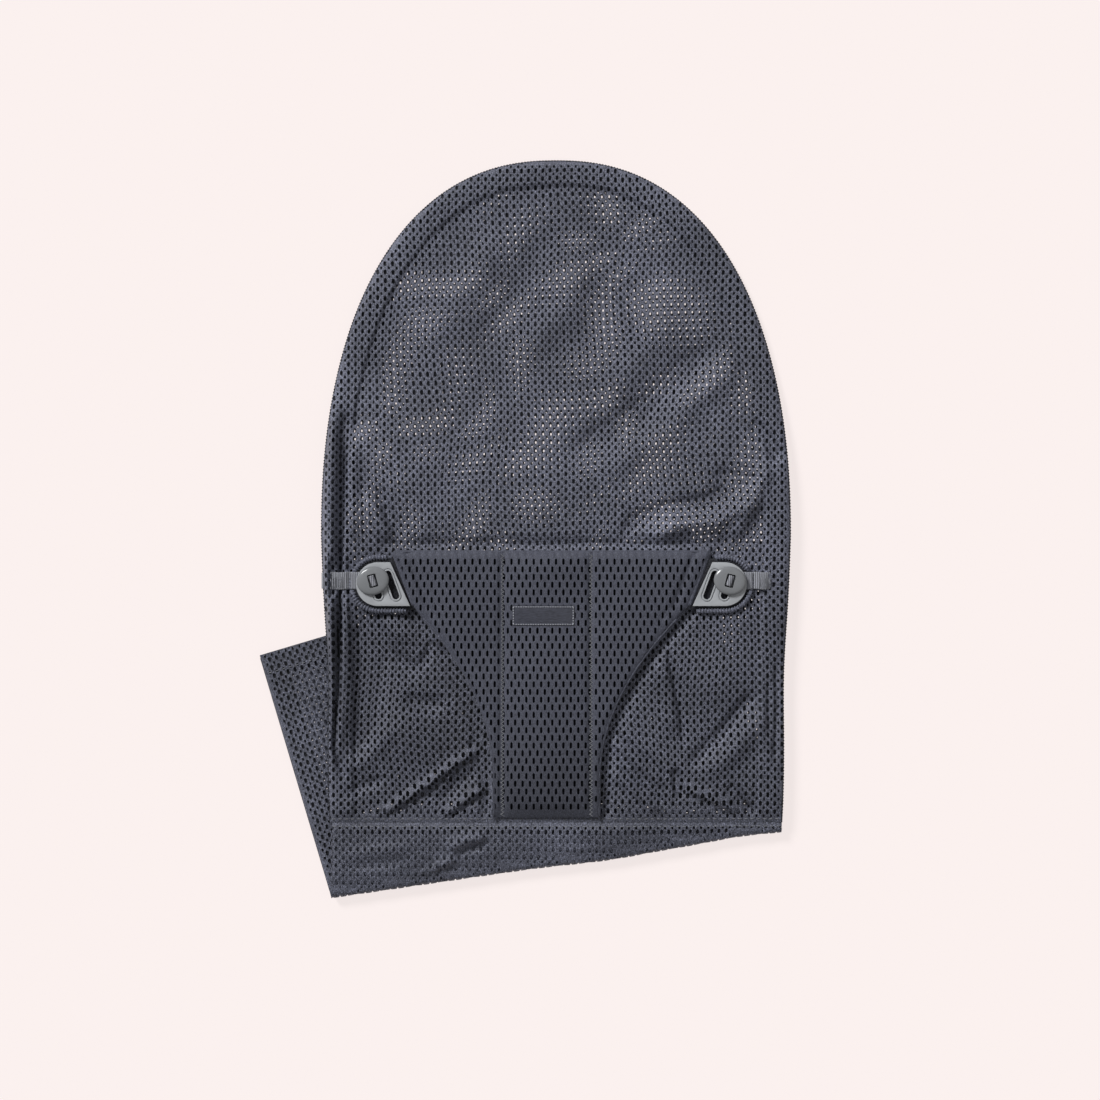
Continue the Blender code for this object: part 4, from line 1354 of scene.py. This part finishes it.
def plate_outline(side, margin, lap):
    """The D of one plate, grown by margin and, at its slanted inner end, by lap."""
    points = []
    for step in range(29):
        angle = -math.pi / 2 + math.pi * step / 28
        radius = PLATE_HALF_HEIGHT + margin
        points.append((PLATE_ROUND_X + radius * math.cos(angle), radius * math.sin(angle)))
    points.append((PLATE_TOP_X - lap, PLATE_HALF_HEIGHT + margin))
    points.append((PLATE_FOOT_X - lap, -PLATE_HALF_HEIGHT - margin))
    return [(HARNESS_X + side * x, PLATE_Y + y) for x, y in points]


def slot_outline(side, centre, grow):
    """The outline of a leaning slot with round ends."""
    radius = SLOT_WIDTH / 2 + grow
    reach = SLOT_LENGTH / 2 - SLOT_WIDTH / 2
    points = []
    for step in range(26):
        angle = math.pi * (step if step < 13 else step - 1) / 12
        x = radius * math.cos(angle)
        y = (reach if step < 13 else -reach) + radius * math.sin(angle)
        across = centre[0] + x * math.cos(SLOT_LEAN) + y * math.sin(SLOT_LEAN)
        along = centre[1] - x * math.sin(SLOT_LEAN) + y * math.cos(SLOT_LEAN)
        points.append((HARNESS_X + side * across, along))
    return points


def make_backing(name, side):
    """The padded fabric tab a plate is sewn to."""
    outline = plate_outline(side, 3.4 * MM, 7 * MM)
    shape = solid(outline, HARNESS_LOW, HARNESS_LOW + 1.6 * MM)
    # The tab takes the liner's painted shade, which shows through the plate's slots.
    tab = to_piece(f"backing_{name}_tab", shape, as_drawn, SHADED_LINER)
    soften(tab, 0.6 * MM)
    hand_over(tab, "harness", "spacer_fabric", f"backing_{name}")
    strap_y = button_place(side)[1]

    def level(x, y):
        outer = smooth(0.160, 0.165, np.abs(x - HARNESS_X))
        crossed = outer * (1.0 - smooth(8 * MM, 11 * MM, np.abs(y - strap_y)))
        return HARNESS_LOW + 1.6 * MM - 2.2 * MM * crossed

    rim = plate_outline(side, 4.4 * MM, 7 * MM)[:-2]
    rim.insert(0, (HARNESS_X + side * (PLATE_FOOT_X + 3 * MM), rim[0][1]))
    rim.append((HARNESS_X + side * (PLATE_TOP_X + 2 * MM), rim[-1][1]))
    sizes = (4.2 * MM, 4.0 * MM)
    edge = roll(f"backing_{name}_edge", rim, *sizes, level, CLOTH, step=0.5 * MM, bumps=0.24)
    hand_over(edge, "harness", "spacer_fabric")


def make_plate(name, side):
    """A moulded plate with two leaning slots, each with a raised rim in a fine groove."""
    shape = solid(plate_outline(side, 0.0, 0.0), PLATE_LOW, PLATE_FACE)
    plate = to_piece(f"plate_{name}_moulding", shape, as_drawn, PLATE)
    steps = (
        (2.0 * MM, PLATE_FACE - 0.9 * MM, PLATE_FACE + 0.8 * MM, "DIFFERENCE"),
        (1.3 * MM, PLATE_LOW + 0.5 * MM, PLATE_FACE + 0.4 * MM, "UNION"),
        (0.0, PLATE_LOW - 2 * MM, PLATE_FACE + 2.8 * MM, "DIFFERENCE"),
    )
    for centre in (OUTER_SLOT, INNER_SLOT):
        for grow, low, high, operation in steps:
            shape = solid(slot_outline(side, centre, grow), low, high)
            cut_out(plate, to_piece("shape_tool", shape, as_drawn, PLATE), operation)
    soften(plate, 0.25 * MM)
    hand_over(plate, "harness", "plate_plastic", f"plate_{name}")


def button_place(side):
    """The middle of a button in the plan."""
    low, high = plan_box("button_left" if side < 0 else "button_right")
    return (low.x + high.x) / 2, (low.y + high.y) / 2


def make_button(name, side):
    """A domed oval button with a window for the strap."""
    x, y = button_place(side)
    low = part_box(f"button_{name}")[0][2]
    route = Route(BUTTON_PROFILE)

    def shape(u, v):
        reach, height = route.at(u)[:2]
        angle = 2 * math.pi * v
        across = reach * 14.0 * MM * np.cos(angle)
        along = reach * 12.25 * MM * np.sin(angle)
        return across, along, height * MM

    lean = -side * math.radians(14.0)
    bank = Matrix.Rotation(side * math.radians(1.5), 4, "Y")
    place = Matrix.Translation((x, y, low)) @ Matrix.Rotation(lean, 4, "Z") @ bank
    button = grid_piece(f"button_{name}_moulding", 56, 64, shape, BUTTON, weld=True)
    shift = Vector((CREASE.x, CREASE.y, 0.0))
    button.data.transform(Matrix.Translation(-shift))
    window = bmesh.new()
    bmesh.ops.create_cube(window, size=1.0, matrix=Matrix.Diagonal((7.6 * MM, 11.4 * MM, 0.03, 1)))
    upright = [edge for edge in window.edges if abs(edge.verts[0].co.z - edge.verts[1].co.z) > 0.01]
    round_off = {"offset": 0.9 * MM, "segments": 3, "profile": 0.5, "affect": "EDGES"}
    bmesh.ops.bevel(window, geom=upright, material=-1, **round_off)
    cut_out(button, plain_object("window_tool", window))
    button.data.transform(Matrix.Translation(shift) @ place)
    soften(button, 0.35 * MM, 2, 55.0)
    hand_over(button, "button_" + name, "button_plastic", f"button_{name}")


def make_loop(name, side):
    """The strap's end, which rises through the slot, goes over the bar and comes down again."""
    x, y = button_place(side)
    bar_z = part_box(f"button_{name}")[0][2] + 2.0 * MM
    tail_z = plan_box(f"strap_{name}")[0].z + 0.6 * MM
    tail_low, tail_high = plan_box(f"strap_loop_{name}")
    outer = tail_low.x if side < 0 else tail_high.x
    lean = -side * SLOT_LEAN
    profile = [(abs(outer - x), tail_z), (6.0 * MM, tail_z), (3.2 * MM, tail_z + 0.5 * MM)]
    profile.append((2.0 * MM, tail_z + 2.0 * MM))
    for step in range(13):
        angle = math.pi * step / 12
        profile.append((2.1 * MM * math.cos(angle), bar_z + 2.0 * MM * math.sin(angle)))
    profile += [(-2.0 * MM, tail_z + 2.0 * MM), (-1.8 * MM, tail_z + 0.2 * MM)]
    line = Route(profile)

    def shape(u, v):
        reach, height = line.at(u)
        spread = smooth(4 * MM, 12 * MM, reach)
        half = (LOOP_HALF + (STRAP_HALF - LOOP_HALF) * spread) * (2 * v - 1)
        turn = lean * (1.0 - spread)
        across = side * reach * np.cos(turn) - half * np.sin(turn)
        along = side * reach * np.sin(turn) * (1.0 - spread) + half * np.cos(turn)
        return x + across, y + along, height + 0.0 * v

    loop = grid_piece(f"strap_loop_{name}_webbing", 70, 10, shape, WEBBING)
    modify(loop, "SOLIDIFY", thickness=0.8 * MM, offset=0.0)
    hand_over(loop, "button_" + name, "strap_webbing", f"strap_loop_{name}")


def make_strap(name, side):
    """The strap's free length, ribbed across, with the stitched ladder at its middle."""
    low, high = plan_box(f"strap_{name}")
    base = low.z + 0.7 * MM
    if side < 0:
        high.x += 3.0 * MM
    else:
        low.x -= 3.0 * MM

    def shape(u, v):
        x = low.x + (high.x - low.x) * u
        y = low.y + (high.y - low.y) * v
        dive = smooth(181 * MM, 190 * MM, np.maximum(x, -x - 12 * MM)) * 4.5 * MM
        tuck = 1.4 * MM * smooth(0.75, 0.95, u if side < 0 else 1.0 - u)
        sag = 0.5 * MM * np.sin(math.pi * u) - dive - tuck
        rib = 0.13 * MM * np.sin(2 * math.pi * (x - low.x) / (1.15 * MM))
        selvedge = -0.3 * MM * (1.0 - rounded(np.minimum(v, 1 - v), 0.08))
        return x, y + 0.25 * MM * np.sin(9 * u), base + sag + rib + selvedge

    strap = grid_piece(f"strap_{name}_webbing", 90, 18, shape, WEBBING)
    modify(strap, "SOLIDIFY", thickness=1.0 * MM, offset=-1.0)
    hand_over(strap, f"strap_{name}", "strap_webbing", f"strap_{name}")
    places = []
    for step in range(7):
        x = (low.x + high.x) / 2 + (step - 2) * side * 1.45 * MM
        places.append((x, (low.y + high.y) / 2 - 1.5 * MM, base + 0.75 * MM, math.pi / 2))
    ladder = stitch_row(f"strap_{name}_ladder", places, 10.5 * MM, 0.75 * MM, WEBBING)
    hand_over(ladder, f"strap_{name}", "strap_webbing")


def make_anchor(name, side):
    """The strap's folded end, sewn to the side of the seat."""
    low, high = plan_box(f"strap_anchor_{name}")

    def level(x, y):
        return (low.z + high.z) / 2 - 4.2 * MM + 0.0 * x

    x = (low.x + high.x) / 2
    sizes = (high.x - low.x, high.z - low.z)
    route = [(x, low.y), (x, high.y)]
    label = f"strap_anchor_{name}_fold"
    anchor = roll(label, route, *sizes, level, WEBBING, step=0.7 * MM, ends=0.06)
    hand_over(anchor, "seat", "strap_webbing", f"strap_anchor_{name}")


make_camera()
make_stage()
make_seat_front()
make_seat_back()
make_rim()
make_leg_cloths()
make_leg_edges()
make_cross_seam()
make_core()
make_panels()
make_harness_edges()
make_label()
for side_name, side_sense in (("left", -1), ("right", 1)):
    make_backing(side_name, side_sense)
    make_plate(side_name, side_sense)
    make_button(side_name, side_sense)
    make_loop(side_name, side_sense)
    make_strap(side_name, side_sense)
    make_anchor(side_name, side_sense)
